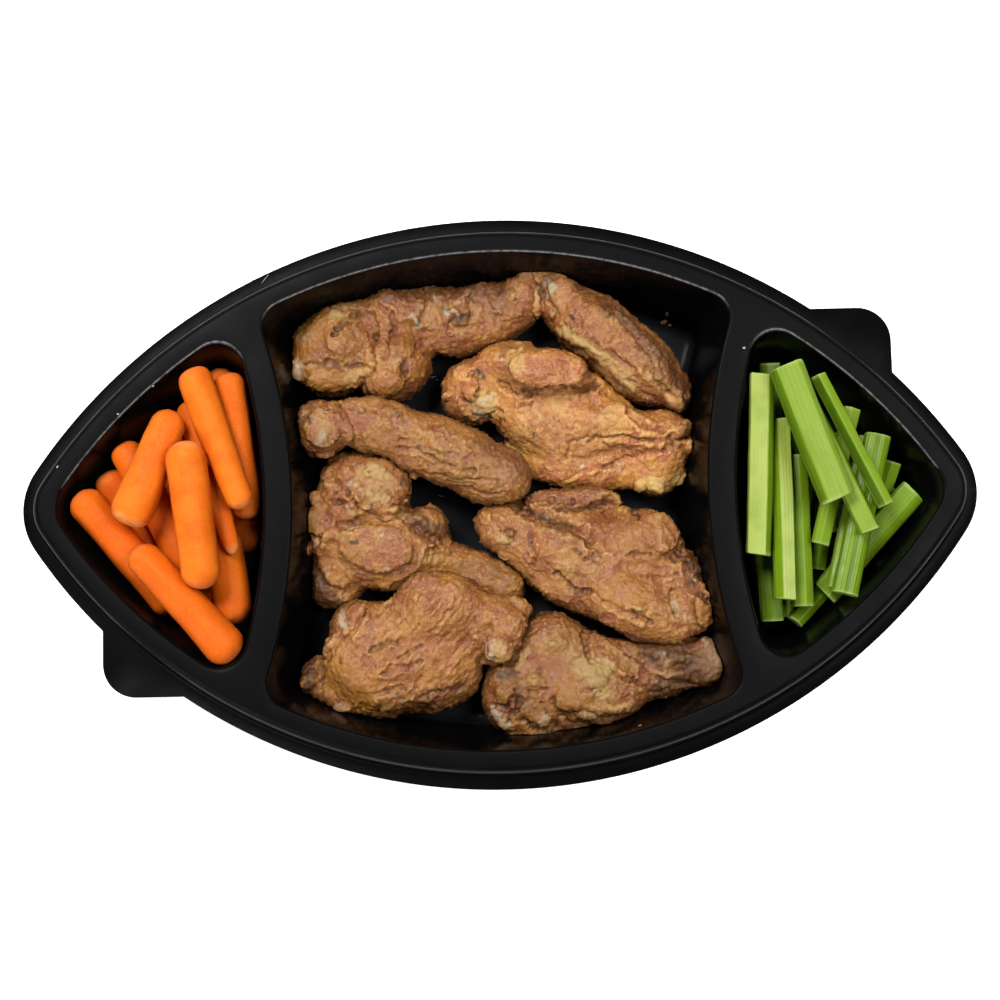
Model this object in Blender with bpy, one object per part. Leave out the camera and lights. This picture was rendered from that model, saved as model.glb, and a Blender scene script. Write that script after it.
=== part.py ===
"""Party tray of chicken wings with baby carrots and celery sticks.

Frame: metres, +Z up, +X along the tray. The origin is the middle of the tray on the
surface that its pocket floors stand on.
"""
import math

import bmesh
import bpy
from mathutils import Matrix, Vector
from mathutils.bvhtree import BVHTree

MM = 0.001

# Tray: an eye-shaped tray whose rims are arcs about two centres on the Y axis
SHEET = 0.9 * MM
ARC_OFFSET = 98.5 * MM
FLANGE_RADIUS = 200.6 * MM
LAND_RADIUS = 193.8 * MM
POCKET_RADIUS = 187.4 * MM
LAND_HEIGHT = 43.0 * MM
SHOULDER_HEIGHT = 11.0 * MM
FLANGE_TIP_ROUND = 25.0 * MM
LAND_TIP_ROUND = 16.0 * MM
DIVIDER_CENTRE = 273.9 * MM
DIVIDER_INNER_RADIUS = 199.7 * MM
DIVIDER_OUTER_RADIUS = 192.0 * MM
MIDDLE_CORNER = 9.0 * MM
SIDE_CORNER = 10.0 * MM
TIP_CORNER = 12.0 * MM
WALL_DRAFT = 7.4 * MM
EDGE_ROUND = 1.6 * MM
FLOOR_ROUND = 5.0 * MM
FLOOR_CORNER_SHARE = 0.75
TAB_X = 142.0 * MM
TAB_Y = 67.0 * MM
TAB_ROUND = 12.0 * MM

# How readily a stick gives way in the pile, by its layer: what lies on top keeps its place
EASE = {"hidden": 8.0, "deep": 2.5, "slim": 2.0, "low": 1.0, "mid": 1.0, "ribbed": 0.8, "straight": 0.7, "top": 0.5}

# Clear air between neighbours; sticks that meet are parted more upwards than sideways
PIECE_GAP = 0.4 * MM
LEVEL_SHARE = 0.35
CELERY_FLAT = 1.5

# Wings: smoothing the skin draws it in by its slack
WING_GAP = 0.6 * MM
WING_VOXEL = 1.6 * MM
SKIN_SLACK = 0.5 * MM
WING_FACES = 540

BLACK_PLASTIC = (0.008, 0.008, 0.009, 1)
FRIED_SKIN = (0.50, 0.24, 0.09, 1)
CARROT_ORANGE = (0.85, 0.22, 0.02, 1)
CELERY_GREEN = (0.33, 0.50, 0.07, 1)


def clear_scene():
    for obj in list(bpy.data.objects):
        bpy.data.objects.remove(obj, do_unlink=True)


def plain_material(name, colour, roughness):
    material = bpy.data.materials.new(name)
    material.use_nodes = True
    shader = material.node_tree.nodes["Principled BSDF"]
    shader.inputs["Base Color"].default_value = colour
    shader.inputs["Roughness"].default_value = roughness
    shader.inputs["Metallic"].default_value = 0.0
    return material


def add_object(name, mesh, material, smooth=True):
    if smooth:
        mesh.shade_smooth()
        mesh.set_sharp_from_angle(angle=math.radians(40))
    mesh.materials.append(material)
    obj = bpy.data.objects.new(name, mesh)
    bpy.context.scene.collection.objects.link(obj)
    return obj


# Plan outlines bounded by circle arcs with rounded corners

def side(x, y, radius, steps, inside=True):
    """One bounding circle of a region, which lies inside it or outside it."""
    return {"x": x, "y": y, "radius": radius, "bow": 1 if inside else -1, "steps": steps}


def corner(x, y, radius, steps):
    """One rounded corner, found by a point near it."""
    return {"near": Vector((x, y)), "radius": radius, "steps": steps}


def circles_meet(first, first_radius, second, second_radius, near):
    apart = second - first
    gap = apart.length
    along = (first_radius ** 2 - second_radius ** 2 + gap ** 2) / (2 * gap)
    off = math.sqrt(max(first_radius ** 2 - along ** 2, 0))
    base = first + apart * (along / gap)
    cross = Vector((-apart.y, apart.x)) * (off / gap)
    return min((base + cross, base - cross), key=lambda point: (point - near).length)


def corner_centre(one, two, turn, inset, radius):
    return circles_meet(Vector((one["x"], one["y"])), one["radius"] - one["bow"] * (inset + radius),
                        Vector((two["x"], two["y"])), two["radius"] - two["bow"] * (inset + radius),
                        turn["near"])


def touch_point(circle, centre, inset):
    middle = Vector((circle["x"], circle["y"]))
    return middle + (centre - middle).normalized() * (circle["radius"] - circle["bow"] * inset)


def arc_points(centre, start, end, steps, turn_left=None):
    """Points from start to end about a centre, without the last one."""
    first = math.atan2(start.y - centre.y, start.x - centre.x)
    sweep = math.atan2(end.y - centre.y, end.x - centre.x) - first
    sweep = (sweep + math.pi) % (2 * math.pi) - math.pi
    if turn_left:
        sweep = sweep % (2 * math.pi)
    radius = (start - centre).length
    return [centre + radius * Vector((math.cos(first + sweep * i / steps), math.sin(first + sweep * i / steps)))
            for i in range(steps)]


def region_outline(sides, corners, inset=0.0, share=1.0, grow=0.0):
    """Outline moved in by inset. Corner radii keep a share of their size and then grow."""
    count = len(sides)
    turns = []
    for i, turn in enumerate(corners):
        one, two = sides[i], sides[(i + 1) % count]
        radius = turn["radius"] * share + grow
        centre = corner_centre(one, two, turn, inset, radius)
        turns.append((centre, touch_point(one, centre, inset), touch_point(two, centre, inset)))
    points = []
    for i, (centre, start, end) in enumerate(turns):
        points += arc_points(centre, start, end, corners[i]["steps"], turn_left=True)
        following = sides[(i + 1) % count]
        target = turns[(i + 1) % count][1]
        middle = Vector((following["x"], following["y"]))
        points += arc_points(middle, end, target, following["steps"])
    return points


def region_depth(sides, corners, point, inset=0.0, share=1.0):
    """How far inside a region's outline a plan point lies, the corners' rounding included."""
    depths = []
    for circle in sides:
        away = (point - Vector((circle["x"], circle["y"]))).length
        depths.append(circle["bow"] * (circle["radius"] - away) - inset)
    depth = min(depths)
    for i, turn in enumerate(corners):
        j = (i + 1) % len(sides)
        radius = turn["radius"] * share
        if depths[i] < radius and depths[j] < radius and (point - turn["near"]).length < 4 * turn["radius"]:
            centre = corner_centre(sides[i], sides[j], turn, inset, radius)
            depth = min(depth, radius - (point - centre).length)
    return depth


def middle_pocket(fine=1):
    sides = [side(0, ARC_OFFSET, POCKET_RADIUS, 12 * fine),
             side(DIVIDER_CENTRE, 0, DIVIDER_INNER_RADIUS, 6 * fine, inside=False),
             side(0, -ARC_OFFSET, POCKET_RADIUS, 12 * fine),
             side(-DIVIDER_CENTRE, 0, DIVIDER_INNER_RADIUS, 6 * fine, inside=False)]
    corners = [corner(sx * 75 * MM, sy * 70 * MM, MIDDLE_CORNER, 4 * fine)
               for sx, sy in ((1, -1), (1, 1), (-1, 1), (-1, -1))]
    return sides, corners


def side_pocket(hand, fine=1):
    """The left pocket has hand -1 and the right one +1."""
    lower = side(0, ARC_OFFSET, POCKET_RADIUS, 7 * fine)
    upper = side(0, -ARC_OFFSET, POCKET_RADIUS, 7 * fine)
    divider = side(hand * DIVIDER_CENTRE, 0, DIVIDER_OUTER_RADIUS, 6 * fine)
    first, second = (lower, upper) if hand > 0 else (upper, lower)
    corners = [corner(hand * 150 * MM, 0, TIP_CORNER, 4 * fine),
               corner(hand * 92 * MM, hand * 62 * MM, SIDE_CORNER, 4 * fine),
               corner(hand * 92 * MM, -hand * 62 * MM, SIDE_CORNER, 4 * fine)]
    return [first, second, divider], corners


def land_region(radius, tip_round):
    """The eye shape itself: two arcs and two rounded tips."""
    sides = [side(0, ARC_OFFSET, radius, 22), side(0, -ARC_OFFSET, radius, 22)]
    corners = [corner(165 * MM, 0, tip_round, 6), corner(-165 * MM, 0, tip_round, 6)]
    return sides, corners


def flange_outline():
    """The eye shape with a rounded tab at the upper right, and its half turn."""
    sides, corners = land_region(FLANGE_RADIUS, FLANGE_TIP_ROUND)
    eye = region_outline(sides, corners)
    centre = Vector((0, -ARC_OFFSET))
    low = Vector((TAB_X, centre.y + math.sqrt(FLANGE_RADIUS ** 2 - TAB_X ** 2)))
    high = Vector((math.sqrt(FLANGE_RADIUS ** 2 - (TAB_Y - centre.y) ** 2), TAB_Y))
    turn = Vector((TAB_X - TAB_ROUND, TAB_Y - TAB_ROUND))
    tab = [low] + arc_points(turn, turn + Vector((TAB_ROUND, 0)), turn + Vector((0, TAB_ROUND)), 5)
    tab += [turn + Vector((0, TAB_ROUND)), high]
    clear = 2.5 * MM
    upper = [point for point in eye if point.y > 0 or (abs(point.y) < 1e-6 and point.x > 0)]
    upper.sort(key=lambda point: math.atan2(point.y, point.x))
    before = [point for point in upper if point.x > TAB_X + clear]
    after = [point for point in upper if point.x < high.x - clear]
    outline = before + tab + after
    return outline + [-point for point in outline]


# Tray shell: an upper skin, a lower skin one sheet below it, and the flange's cut edge

def mitred(profile, lead, tail, turn):
    """A profile of (inset, height) moved by the sheet's thickness into the material."""
    steps = [Vector(b) - Vector(a) for a, b in zip(profile, profile[1:])]
    steps = [Vector(lead)] + steps + [Vector(tail)]
    moved = []
    for point, before, after in zip(profile, steps, steps[1:]):
        first = Vector((before.y, -before.x)).normalized() * turn
        second = Vector((after.y, -after.x)).normalized() * turn
        shift = (first + second) * (SHEET / (1 + first.dot(second)))
        moved.append((point[0] + shift.x, point[1] + shift.y))
    return moved


def pocket_profile():
    """(inset, height) from the land's edge over the wall to the floor."""
    floor = SHEET
    wall_foot = FLOOR_ROUND * 1.05
    return [(0.0, LAND_HEIGHT),
            (0.35 * EDGE_ROUND, LAND_HEIGHT - 0.12 * EDGE_ROUND),
            (0.85 * EDGE_ROUND, LAND_HEIGHT - 0.9 * EDGE_ROUND),
            (WALL_DRAFT, floor + wall_foot),
            (WALL_DRAFT + 0.32 * FLOOR_ROUND, floor + 0.32 * FLOOR_ROUND),
            (WALL_DRAFT + 0.95 * FLOOR_ROUND, floor)]


def shoulder_profile():
    """(inset, height) from the land over its outer edge to the flange; outward is negative."""
    flange = LAND_HEIGHT - SHOULDER_HEIGHT
    return [(EDGE_ROUND, LAND_HEIGHT),
            (0.1 * EDGE_ROUND, LAND_HEIGHT - 0.4 * EDGE_ROUND),
            (-0.2 * EDGE_ROUND, LAND_HEIGHT - EDGE_ROUND),
            (-1.5 * MM, flange + 0.9 * MM),
            (-2.6 * MM, flange)]


def add_loop(bm, points, height):
    return [bm.verts.new((point.x, point.y, height)) for point in points]


def add_band(bm, upper, lower):
    count = len(upper)
    for i in range(count):
        j = (i + 1) % count
        bm.faces.new((upper[i], upper[j], lower[j], lower[i]))


def fill_between(bm, *loops):
    edges = []
    for loop in loops:
        for a, b in zip(loop, loop[1:] + loop[:1]):
            edges.append(bm.edges.get((a, b)) or bm.edges.new((a, b)))
    bmesh.ops.triangle_fill(bm, edges=edges, use_beauty=True, normal=(0, 0, 1))


def corner_share(level, last):
    """How much of a corner's rounding is left at a level of the pocket's profile."""
    return 1 - (1 - FLOOR_CORNER_SHARE) * level / last - 0.3 * max(0.0, level - last + 1)


def build_pocket_skin(bm, sides, corners, profile, over):
    """Bands from the land down to one closed floor; returns the loop in the land."""
    loops = []
    for i, ((inset, height), (over_inset, _)) in enumerate(zip(profile, over)):
        share = corner_share(i, len(profile) - 1)
        points = region_outline(sides, corners, inset, share, grow=over_inset - inset)
        loops.append(add_loop(bm, points, height))
    for upper, lower in zip(loops, loops[1:]):
        add_band(bm, upper, lower)
    fill_between(bm, loops[-1])
    return loops[0]


def build_tray(material):
    bm = bmesh.new()
    pockets = [middle_pocket(), side_pocket(-1), side_pocket(1)]
    edge_points = flange_outline()
    flange = LAND_HEIGHT - SHOULDER_HEIGHT
    pocket_over = pocket_profile()
    shoulder_over = shoulder_profile()
    pocket_under = mitred(pocket_over, (1, 0), (1, 0), 1)
    shoulder_under = mitred(shoulder_over, (-1, 0), (-1, 0), -1)
    rims = []
    for pocket, shoulder, drop in ((pocket_over, shoulder_over, 0), (pocket_under, shoulder_under, SHEET)):
        land_loops = [build_pocket_skin(bm, *outline, pocket, pocket_over) for outline in pockets]
        sides, corners = land_region(LAND_RADIUS, LAND_TIP_ROUND)
        loops = [add_loop(bm, region_outline(sides, corners, inset, 1.0, -inset), height)
                 for inset, height in shoulder]
        for upper, lower in zip(loops, loops[1:]):
            add_band(bm, upper, lower)
        fill_between(bm, loops[0], *land_loops)
        rim = add_loop(bm, edge_points, flange - drop)
        fill_between(bm, rim, loops[-1])
        rims.append(rim)
    add_band(bm, rims[0], rims[1])
    bmesh.ops.recalc_face_normals(bm, faces=bm.faces)
    mesh = bpy.data.meshes.new("tray")
    bm.to_mesh(mesh)
    bm.free()
    return add_object("tray", mesh, material, smooth=False)


def wall_at(height):
    """The wall's (inset, corner share) at a height, the floor's rounding included."""
    profile = pocket_profile()
    last = len(profile) - 1
    for i in range(last):
        (inset_a, high), (inset_b, low) = profile[i], profile[i + 1]
        if low <= height <= high:
            part = (high - height) / max(high - low, 1e-9)
            return inset_a + (inset_b - inset_a) * part, corner_share(i + part, last)
    return (0.0, 1.0) if height > LAND_HEIGHT else (profile[-1][0], corner_share(last, last))


def wall_clearance(pocket, x, y, height):
    """Plan distance from a point to the wall at its height."""
    inset, share = wall_at(height)
    return region_depth(*pocket, Vector((x, y)), inset, share)


def move_off_wall(pocket, spot, need):
    """Move a point in plan until the wall at its height is the needed distance away."""
    step = 0.1 * MM
    for _ in range(4):
        room = wall_clearance(pocket, spot.x, spot.y, spot.z)
        if room >= need:
            return
        grade = Vector((wall_clearance(pocket, spot.x + step, spot.y, spot.z) - room,
                        wall_clearance(pocket, spot.x, spot.y + step, spot.z) - room))
        if grade.length < 1e-9:
            return
        push = grade.normalized() * (need - room + 0.02 * MM)
        spot.x += push.x
        spot.y += push.y


# Piles: each stick is a row between two end balls, and the sticks push each other apart

def make_stick(start, end, heights, start_radius, end_radius, blunt, ease):
    """A stick from its plan ends and the heights of its two ends, all in millimetres."""
    low = Vector((start[0], start[1], heights[0])) * MM
    high = Vector((end[0], end[1], heights[1])) * MM
    along = (high - low).normalized()
    radii = (start_radius * MM, end_radius * MM)
    ends = [low + along * blunt * radii[0], high - along * blunt * radii[1]]
    return {"ends": ends, "goals": [ends[0].copy(), ends[1].copy()], "radii": radii, "blunt": blunt,
            "ease": ease, "length": (ends[1] - ends[0]).length}


def nearest_shares(one, two):
    """Where along each stick the two come nearest, from 0 at the start to 1 at the end."""
    d1, d2 = one[1] - one[0], two[1] - two[0]
    r = one[0] - two[0]
    a, e, f = d1.dot(d1), d2.dot(d2), d2.dot(r)
    c, b = d1.dot(r), d1.dot(d2)
    spread = a * e - b * b
    s = min(max((b * f - c * e) / spread, 0.0), 1.0) if spread > 1e-14 else 0.5
    t = (b * s + f) / e
    if t < 0 or t > 1:
        t = min(max(t, 0.0), 1.0)
        s = min(max((b * t - c) / a, 0.0), 1.0)
    return s, t


def part_sticks(one, two, flat):
    """Push two sticks apart where they come too near, with heights counted flat times over."""
    tall = Vector((1, 1, flat))
    s, t = nearest_shares([end * tall for end in one["ends"]], [end * tall for end in two["ends"]])
    first = one["ends"][0].lerp(one["ends"][1], s)
    second = two["ends"][0].lerp(two["ends"][1], t)
    radius_one = one["radii"][0] + (one["radii"][1] - one["radii"][0]) * s
    radius_two = two["radii"][0] + (two["radii"][1] - two["radii"][0]) * t
    away = (first - second) * tall
    lack = radius_one + radius_two + PIECE_GAP * flat - away.length
    if lack <= 0:
        return 0.0
    level = Vector((away.x * LEVEL_SHARE, away.y * LEVEL_SHARE, away.z + 1e-6)).normalized()
    push = level * (lack / max(level.dot(away.normalized()), 0.4) / (one["ease"] + two["ease"]))
    push.z /= flat
    for stick, share, way in ((one, s, one["ease"]), (two, t, -two["ease"])):
        weights = (1 - share, share)
        total = weights[0] ** 2 + weights[1] ** 2
        for end, weight in zip(stick["ends"], weights):
            end += push * (way * weight / total)
    return lack


def hold_stick(pocket, stick, flat):
    """Keep a stick's length, and its ends off the floor and the walls."""
    start, end = stick["ends"]
    for ball, radius in zip((start, end), stick["radii"]):
        ball.z = max(ball.z, SHEET + radius / flat + PIECE_GAP)
        move_off_wall(pocket, ball, radius * 1.03 + PIECE_GAP)
    middle = (start + end) / 2
    half = (end - start).normalized() * (stick["length"] / 2)
    stick["ends"] = [middle - half, middle + half]


def settle_pile(pocket, sticks, flat):
    """Draw the sticks to their places, then part them until none touches another."""
    rounds = 260
    for turn in range(rounds):
        pull = 0.08 if turn < rounds * 0.6 else 0.0
        for stick in sticks:
            for end, goal in zip(stick["ends"], stick["goals"]):
                end += (goal - end) * (pull / stick["ease"])
        worst = 0.0
        for i, one in enumerate(sticks):
            for two in sticks[i + 1:]:
                worst = max(worst, part_sticks(one, two, flat))
        for stick in sticks:
            hold_stick(pocket, stick, flat)
        if pull == 0.0 and worst < 0.01 * MM:
            break


def stick_tips(stick):
    """The two real ends, past the end balls' middles."""
    start, end = stick["ends"]
    along = (end - start).normalized()
    return start - along * stick["blunt"] * stick["radii"][0], end + along * stick["blunt"] * stick["radii"][1]


def stick_frame(low, high):
    """Local X along the stick, local Z as near up as it goes."""
    along = (high - low).normalized()
    across = Vector((0, 0, 1)).cross(along).normalized()
    up = along.cross(across)
    turn = Matrix((along, across, up)).transposed()
    return Matrix.Translation(low) @ turn.to_4x4()


def loft(rings, name):
    """A closed mesh from rings of points, its ends capped."""
    bm = bmesh.new()
    loops = [[bm.verts.new(point) for point in ring] for ring in rings]
    for first, second in zip(loops, loops[1:]):
        for i in range(len(first)):
            j = (i + 1) % len(first)
            bm.faces.new((first[i], first[j], second[j], second[i]))
    bm.faces.new(list(reversed(loops[0])))
    bm.faces.new(loops[-1])
    bmesh.ops.recalc_face_normals(bm, faces=bm.faces)
    mesh = bpy.data.meshes.new(name)
    bm.to_mesh(mesh)
    bm.free()
    return mesh


def build_carrot(name, stick, material):
    """A peeled baby carrot: a turned stick that tapers from head to tail, with domed ends."""
    low, high = stick_tips(stick)
    length = (high - low).length
    head, tail = stick["radii"]
    sides = 10
    dome = ((0.0, 0.45), (0.28, 0.84), (0.9, 1.0))
    stations = [(reach * head, share * head) for reach, share in dome]
    stations += [(length - reach * tail, share * tail) for reach, share in reversed(dome)]
    rings = []
    for reach, radius in stations:
        rings.append([(reach, radius * math.cos(2 * math.pi * i / sides), radius * math.sin(2 * math.pi * i / sides))
                      for i in range(sides)])
    obj = add_object(name, loft(rings, name), material)
    obj.matrix_world = stick_frame(low, high)
    return obj


def celery_section(width, thick):
    """The curved slice of a stalk: a ribbed back on top and a hollow inner face below."""
    back = [(-0.5, -0.32), (-0.46, 0.02), (-0.27, 0.40), (0.0, 0.5), (0.27, 0.40), (0.46, 0.02), (0.5, -0.32)]
    hollow = [(0.36, -0.5), (0.14, -0.16), (-0.14, -0.16), (-0.36, -0.5)]
    return [(x * width, z * thick) for x, z in back + hollow]


def build_celery(name, stick, width, thick, material):
    """A cut celery stick: the curved section run straight between two square cuts."""
    low, high = stick_tips(stick)
    length = (high - low).length
    section = celery_section(width * MM, thick * MM)
    rings = []
    for share, scale in ((0.0, 0.95), (0.02, 1.0), (0.98, 1.0), (1.0, 0.95)):
        rings.append([(share * length, x * scale, z * scale) for x, z in section])
    obj = add_object(name, loft(rings, name), material)
    obj.matrix_world = stick_frame(low, high)
    return obj


# Wings: lobes fused into one skin, then eased clear of the floor, walls and earlier wings

def lobe_ball(bm, wing_frame, values):
    along, across, height, length, width, thick, turn = values
    place = (wing_frame @ Matrix.Translation((along * MM, across * MM, height * MM))
             @ Matrix.Rotation(math.radians(turn), 4, "Z")
             @ Matrix.Diagonal((length * MM + SKIN_SLACK, width * MM + SKIN_SLACK, thick * MM, 1)))
    bmesh.ops.create_icosphere(bm, subdivisions=3, radius=1.0, matrix=place)


def evaluated_mesh(obj):
    depsgraph = bpy.context.evaluated_depsgraph_get()
    return bpy.data.meshes.new_from_object(obj.evaluated_get(depsgraph), depsgraph=depsgraph)


def fused_skin(name, at, turn, lobes):
    """One closed skin round all the lobes, in world axes."""
    bm = bmesh.new()
    frame = Matrix.Translation((at[0] * MM, at[1] * MM, 0)) @ Matrix.Rotation(math.radians(turn), 4, "Z")
    for values in lobes.values():
        lobe_ball(bm, frame, values)
    mesh = bpy.data.meshes.new(name + "_lobes")
    bm.to_mesh(mesh)
    bm.free()
    draft = bpy.data.objects.new(name + "_lobes", mesh)
    bpy.context.scene.collection.objects.link(draft)
    remesh = draft.modifiers.new("skin", "REMESH")
    remesh.mode = "VOXEL"
    remesh.voxel_size = WING_VOXEL
    ease = draft.modifiers.new("ease", "SMOOTH")
    ease.factor = 0.5
    ease.iterations = 4
    bpy.context.view_layer.update()
    dense = evaluated_mesh(draft)
    triangles = sum(len(face.vertices) - 2 for face in dense.polygons)
    thin = draft.modifiers.new("thin", "DECIMATE")
    thin.ratio = WING_FACES / triangles
    bpy.context.view_layer.update()
    skin = evaluated_mesh(draft)
    bpy.data.objects.remove(draft, do_unlink=True)
    bm = bmesh.new()
    bm.from_mesh(skin)
    bmesh.ops.triangulate(bm, faces=bm.faces)
    return bm


def keep_in_pocket(bm, pocket, gap):
    """Move skin points off the floor and in from the walls."""
    for vertex in bm.verts:
        vertex.co.z = max(vertex.co.z, SHEET + gap)
        move_off_wall(pocket, vertex.co, gap)


def ease_off(bm, under, gap):
    """Move skin points that are in or too near an earlier wing up and off it."""
    for vertex in bm.verts:
        spot, normal, _, away = under.find_nearest(vertex.co)
        if spot is None:
            continue
        depth = (vertex.co - spot).dot(normal)
        if away > 12 * MM and depth > 0:
            continue
        if depth < gap:
            lean = Vector((normal.x, normal.y, max(normal.z, 0.35))).normalized()
            if depth < 0:
                hit, _, _, _ = under.ray_cast(Vector((vertex.co.x, vertex.co.y, 0.2)), Vector((0, 0, -1)))
                rise = hit.z + gap - vertex.co.z if hit else 1.0
                if 0 < rise < 1.6 * (gap - depth):
                    vertex.co.z += rise
                    continue
            vertex.co += lean * ((gap - depth) / max(lean.dot(normal), 0.5))


def build_wing(name, pocket, earlier, at, turn, lobes, material):
    bm = fused_skin(name, at, turn, lobes)
    gap = WING_GAP
    for attempt in range(12):
        for _ in range(3):
            for under in earlier:
                ease_off(bm, under, gap)
            keep_in_pocket(bm, pocket, gap)
            crowded = [vertex for vertex in bm.verts
                       if any((under.find_nearest(vertex.co)[3] or 1) < 1.5 * gap for under in earlier)]
            bmesh.ops.smooth_vert(bm, verts=crowded, factor=0.25, use_axis_x=True, use_axis_y=True, use_axis_z=True)
        for under in earlier:
            ease_off(bm, under, gap)
        keep_in_pocket(bm, pocket, gap)
        mine = BVHTree.FromBMesh(bm)
        if not any(mine.overlap(under) for under in earlier):
            break
        gap += 0.15 * MM
    earlier.append(BVHTree.FromBMesh(bm))
    mesh = bpy.data.meshes.new(name)
    bm.to_mesh(mesh)
    bm.free()
    return add_object(name, mesh, material)


# Each wing: where it lies, its turn, and its lobes. A lobe has its place along, across and up
# in the wing's own frame, its three half sizes and its own turn, in millimetres and degrees.
WINGS = {
    "wing_low_right": ((37, -64), 0, {
        "head": (-29, -4, 14, 16, 17, 13, -1),
        "crown": (-20, 12, 16, 14, 12, 12, -1),
        "body": (-6, -1, 16, 22, 17, 13, -9),
        "sole": (-26, -17, 10, 11, 8, 9, -1),
        "hem": (-4, -13, 10, 17, 7, 9, -1),
        "shank": (19, 4, 12, 22, 11, 10, 1),
        "knob": (37, 5, 12, 8, 10, 10, -1),
    }),
    "wing_mid_left": ((-38, -11), -16, {
        "crown": (-16, 14, 16, 17, 14, 13, 15),
        "cheek": (-23, -3, 14, 13, 14, 12, 15),
        "body": (-2, -5, 15, 22, 15, 14, 15),
        "heel": (-19, -20, 11, 11, 12, 10, 15),
        "lobe": (10, 7, 11, 7, 8, 10, 15),
        "shank": (25, -5, 12, 23, 8, 9, -1),
        "knob": (43, -7, 11, 7, 7, 9, 15),
        "crust": (-29, -13, 11, 4, 5, 8, 15),
    }),
    "wing_centre": ((26, 31), -11, {
        "knuckle": (-38, 4, 12, 10, 12, 11, 10),
        "nape": (-25, 17, 14, 12, 8, 12, 10),
        "crest": (-11, 15, 25, 15, 8, 9, 10),
        "body": (-3, 2, 13, 27, 18, 13, -2),
        "ridge": (14, -0, 19, 22, 7, 9, -4),
        "end": (35, -4, 13, 13, 14, 12, 10),
        "belly": (14, -14, 10, 32, 9, 9, 10),
        "gristle": (35, -16, 12, 8, 6, 9, 10),
    }),
    "wing_top_left": ((-33, 64), 9, {
        "meat": (-28, -1, 15, 15, 17, 14, -10),
        "brow": (-23, 11, 15, 12, 8, 12, -10),
        "flap": (-7, -12, 16, 14, 12, 14, 10),
        "saddle": (-3, 8, 15, 14, 10, 12, -10),
        "shank": (22, 2, 13, 24, 13, 11, -2),
        "knob": (44, 7, 14, 8, 13, 12, -10),
    }),
    "wing_top_right": ((42, 59), -41, {
        "head": (-27, 3, 15, 8, 13, 12, 40),
        "body": (-7, 0, 18, 18, 12, 14, 2),
        "rump": (12, 0, 17, 19, 12, 15, -2),
        "tip": (29, -0, 14, 8, 7, 11, -5),
        "hem": (3, -9, 12, 18, 4, 9, 2),
    }),
    "wing_low_left": ((-31, -50), 14, {
        "plate": (-6, -2, 20, 29, 20, 10, -3),
        "ridge": (12, 11, 25, 16, 12, 10, -15),
        "wrist": (30, -2, 22, 11, 12, 10, -15),
        "hem": (-24, -12, 13, 18, 10, 10, -15),
        "keel": (3, -17, 13, 17, 8, 10, 0),
        "shoulder": (-18, 11, 19, 10, 10, 10, -15),
        "bone": (27, -11, 20, 6, 5, 8, -15),
        "skirt": (-40, -4, 11, 5, 7, 8, -15),
        "root": (-7, -1, 11, 21, 14, 10, -3),
    }),
    "wing_mid_right": ((36, -21), -31, {
        "wrist": (-35, -8, 18, 12, 9, 9, 0),
        "flap": (-21, 10, 13, 22, 7, 9, 38),
        "plate": (-5, -3, 19, 33, 16, 10, 2),
        "shoulder": (10, 13, 19, 15, 12, 11, 30),
        "fold": (18, -9, 22, 23, 10, 9, 2),
        "elbow": (38, 5, 19, 9, 12, 10, 30),
        "crook": (27, 10, 17, 10, 9, 10, 30),
        "hem": (-5, -15, 15, 25, 6, 9, 0),
        "root": (2, -1, 12, 22, 12, 10, 2),
    }),
    "wing_upper_left": ((-32, 21), -18, {
        "knob": (-33, -3, 24, 9, 10, 11, 17),
        "shaft": (-12, 4, 27, 20, 10, 10, 3),
        "body": (12, 2, 25, 23, 12, 12, -3),
        "end": (30, -1, 22, 15, 11, 12, 2),
    }),
}

# Baby carrots: ends in plan, heights of the two ends, head radius and tail radius
CARROTS = [
    ("carrot_hidden_1", (-146, 2), (-120, -30), (8, 8), 5.8, 5.4),
    ("carrot_hidden_2", (-106, 44), (-106, -2), (7, 7), 5.8, 5.4),
    ("carrot_hidden_3", (-124, 30), (-130, -10), (7, 7), 5.8, 5.4),
    ("carrot_hidden_4", (-112, -44), (-112, 4), (8, 12), 5.8, 5.4),
    ("carrot_deep_top", (-101, 52), (-95, 14), (26, 23), 5.4, 5.0),
    ("carrot_deep_tip", (-144.5, 15.5), (-124.5, -16.5), (27, 24), 5.8, 5.4),
    ("carrot_deep_right", (-94, 14.5), (-91, -14.5), (21, 20), 5.2, 5.0),
    ("carrot_low_left", (-152, 5.5), (-119.5, -37.5), (33, 31), 6.5, 6.4),
    ("carrot_low_right", (-100, -8), (-91.5, -41.5), (29, 31), 6.4, 6.9),
    ("carrot_low_bottom", (-126.5, -15), (-93.5, -54.5), (43, 38), 5.9, 7.3),
    ("carrot_mid_left", (-137, 24.5), (-111.5, -21.5), (33, 31), 5.9, 6.0),
    ("carrot_mid_right", (-95, 48), (-89, -4.5), (33, 31), 5.8, 5.3),
    ("carrot_mid_slim", (-110.5, 38.5), (-94, -17), (31, 31), 6.0, 3.0),
    ("carrot_top_left", (-114.5, 33.5), (-130.5, -6.5), (41, 45), 6.0, 7.8),
    ("carrot_top_middle", (-110, 21.5), (-104, -29.5), (49, 47), 7.0, 6.8),
    ("carrot_top_right", (-108, 48.5), (-90, -2), (43, 43), 6.3, 4.9),
]

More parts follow.
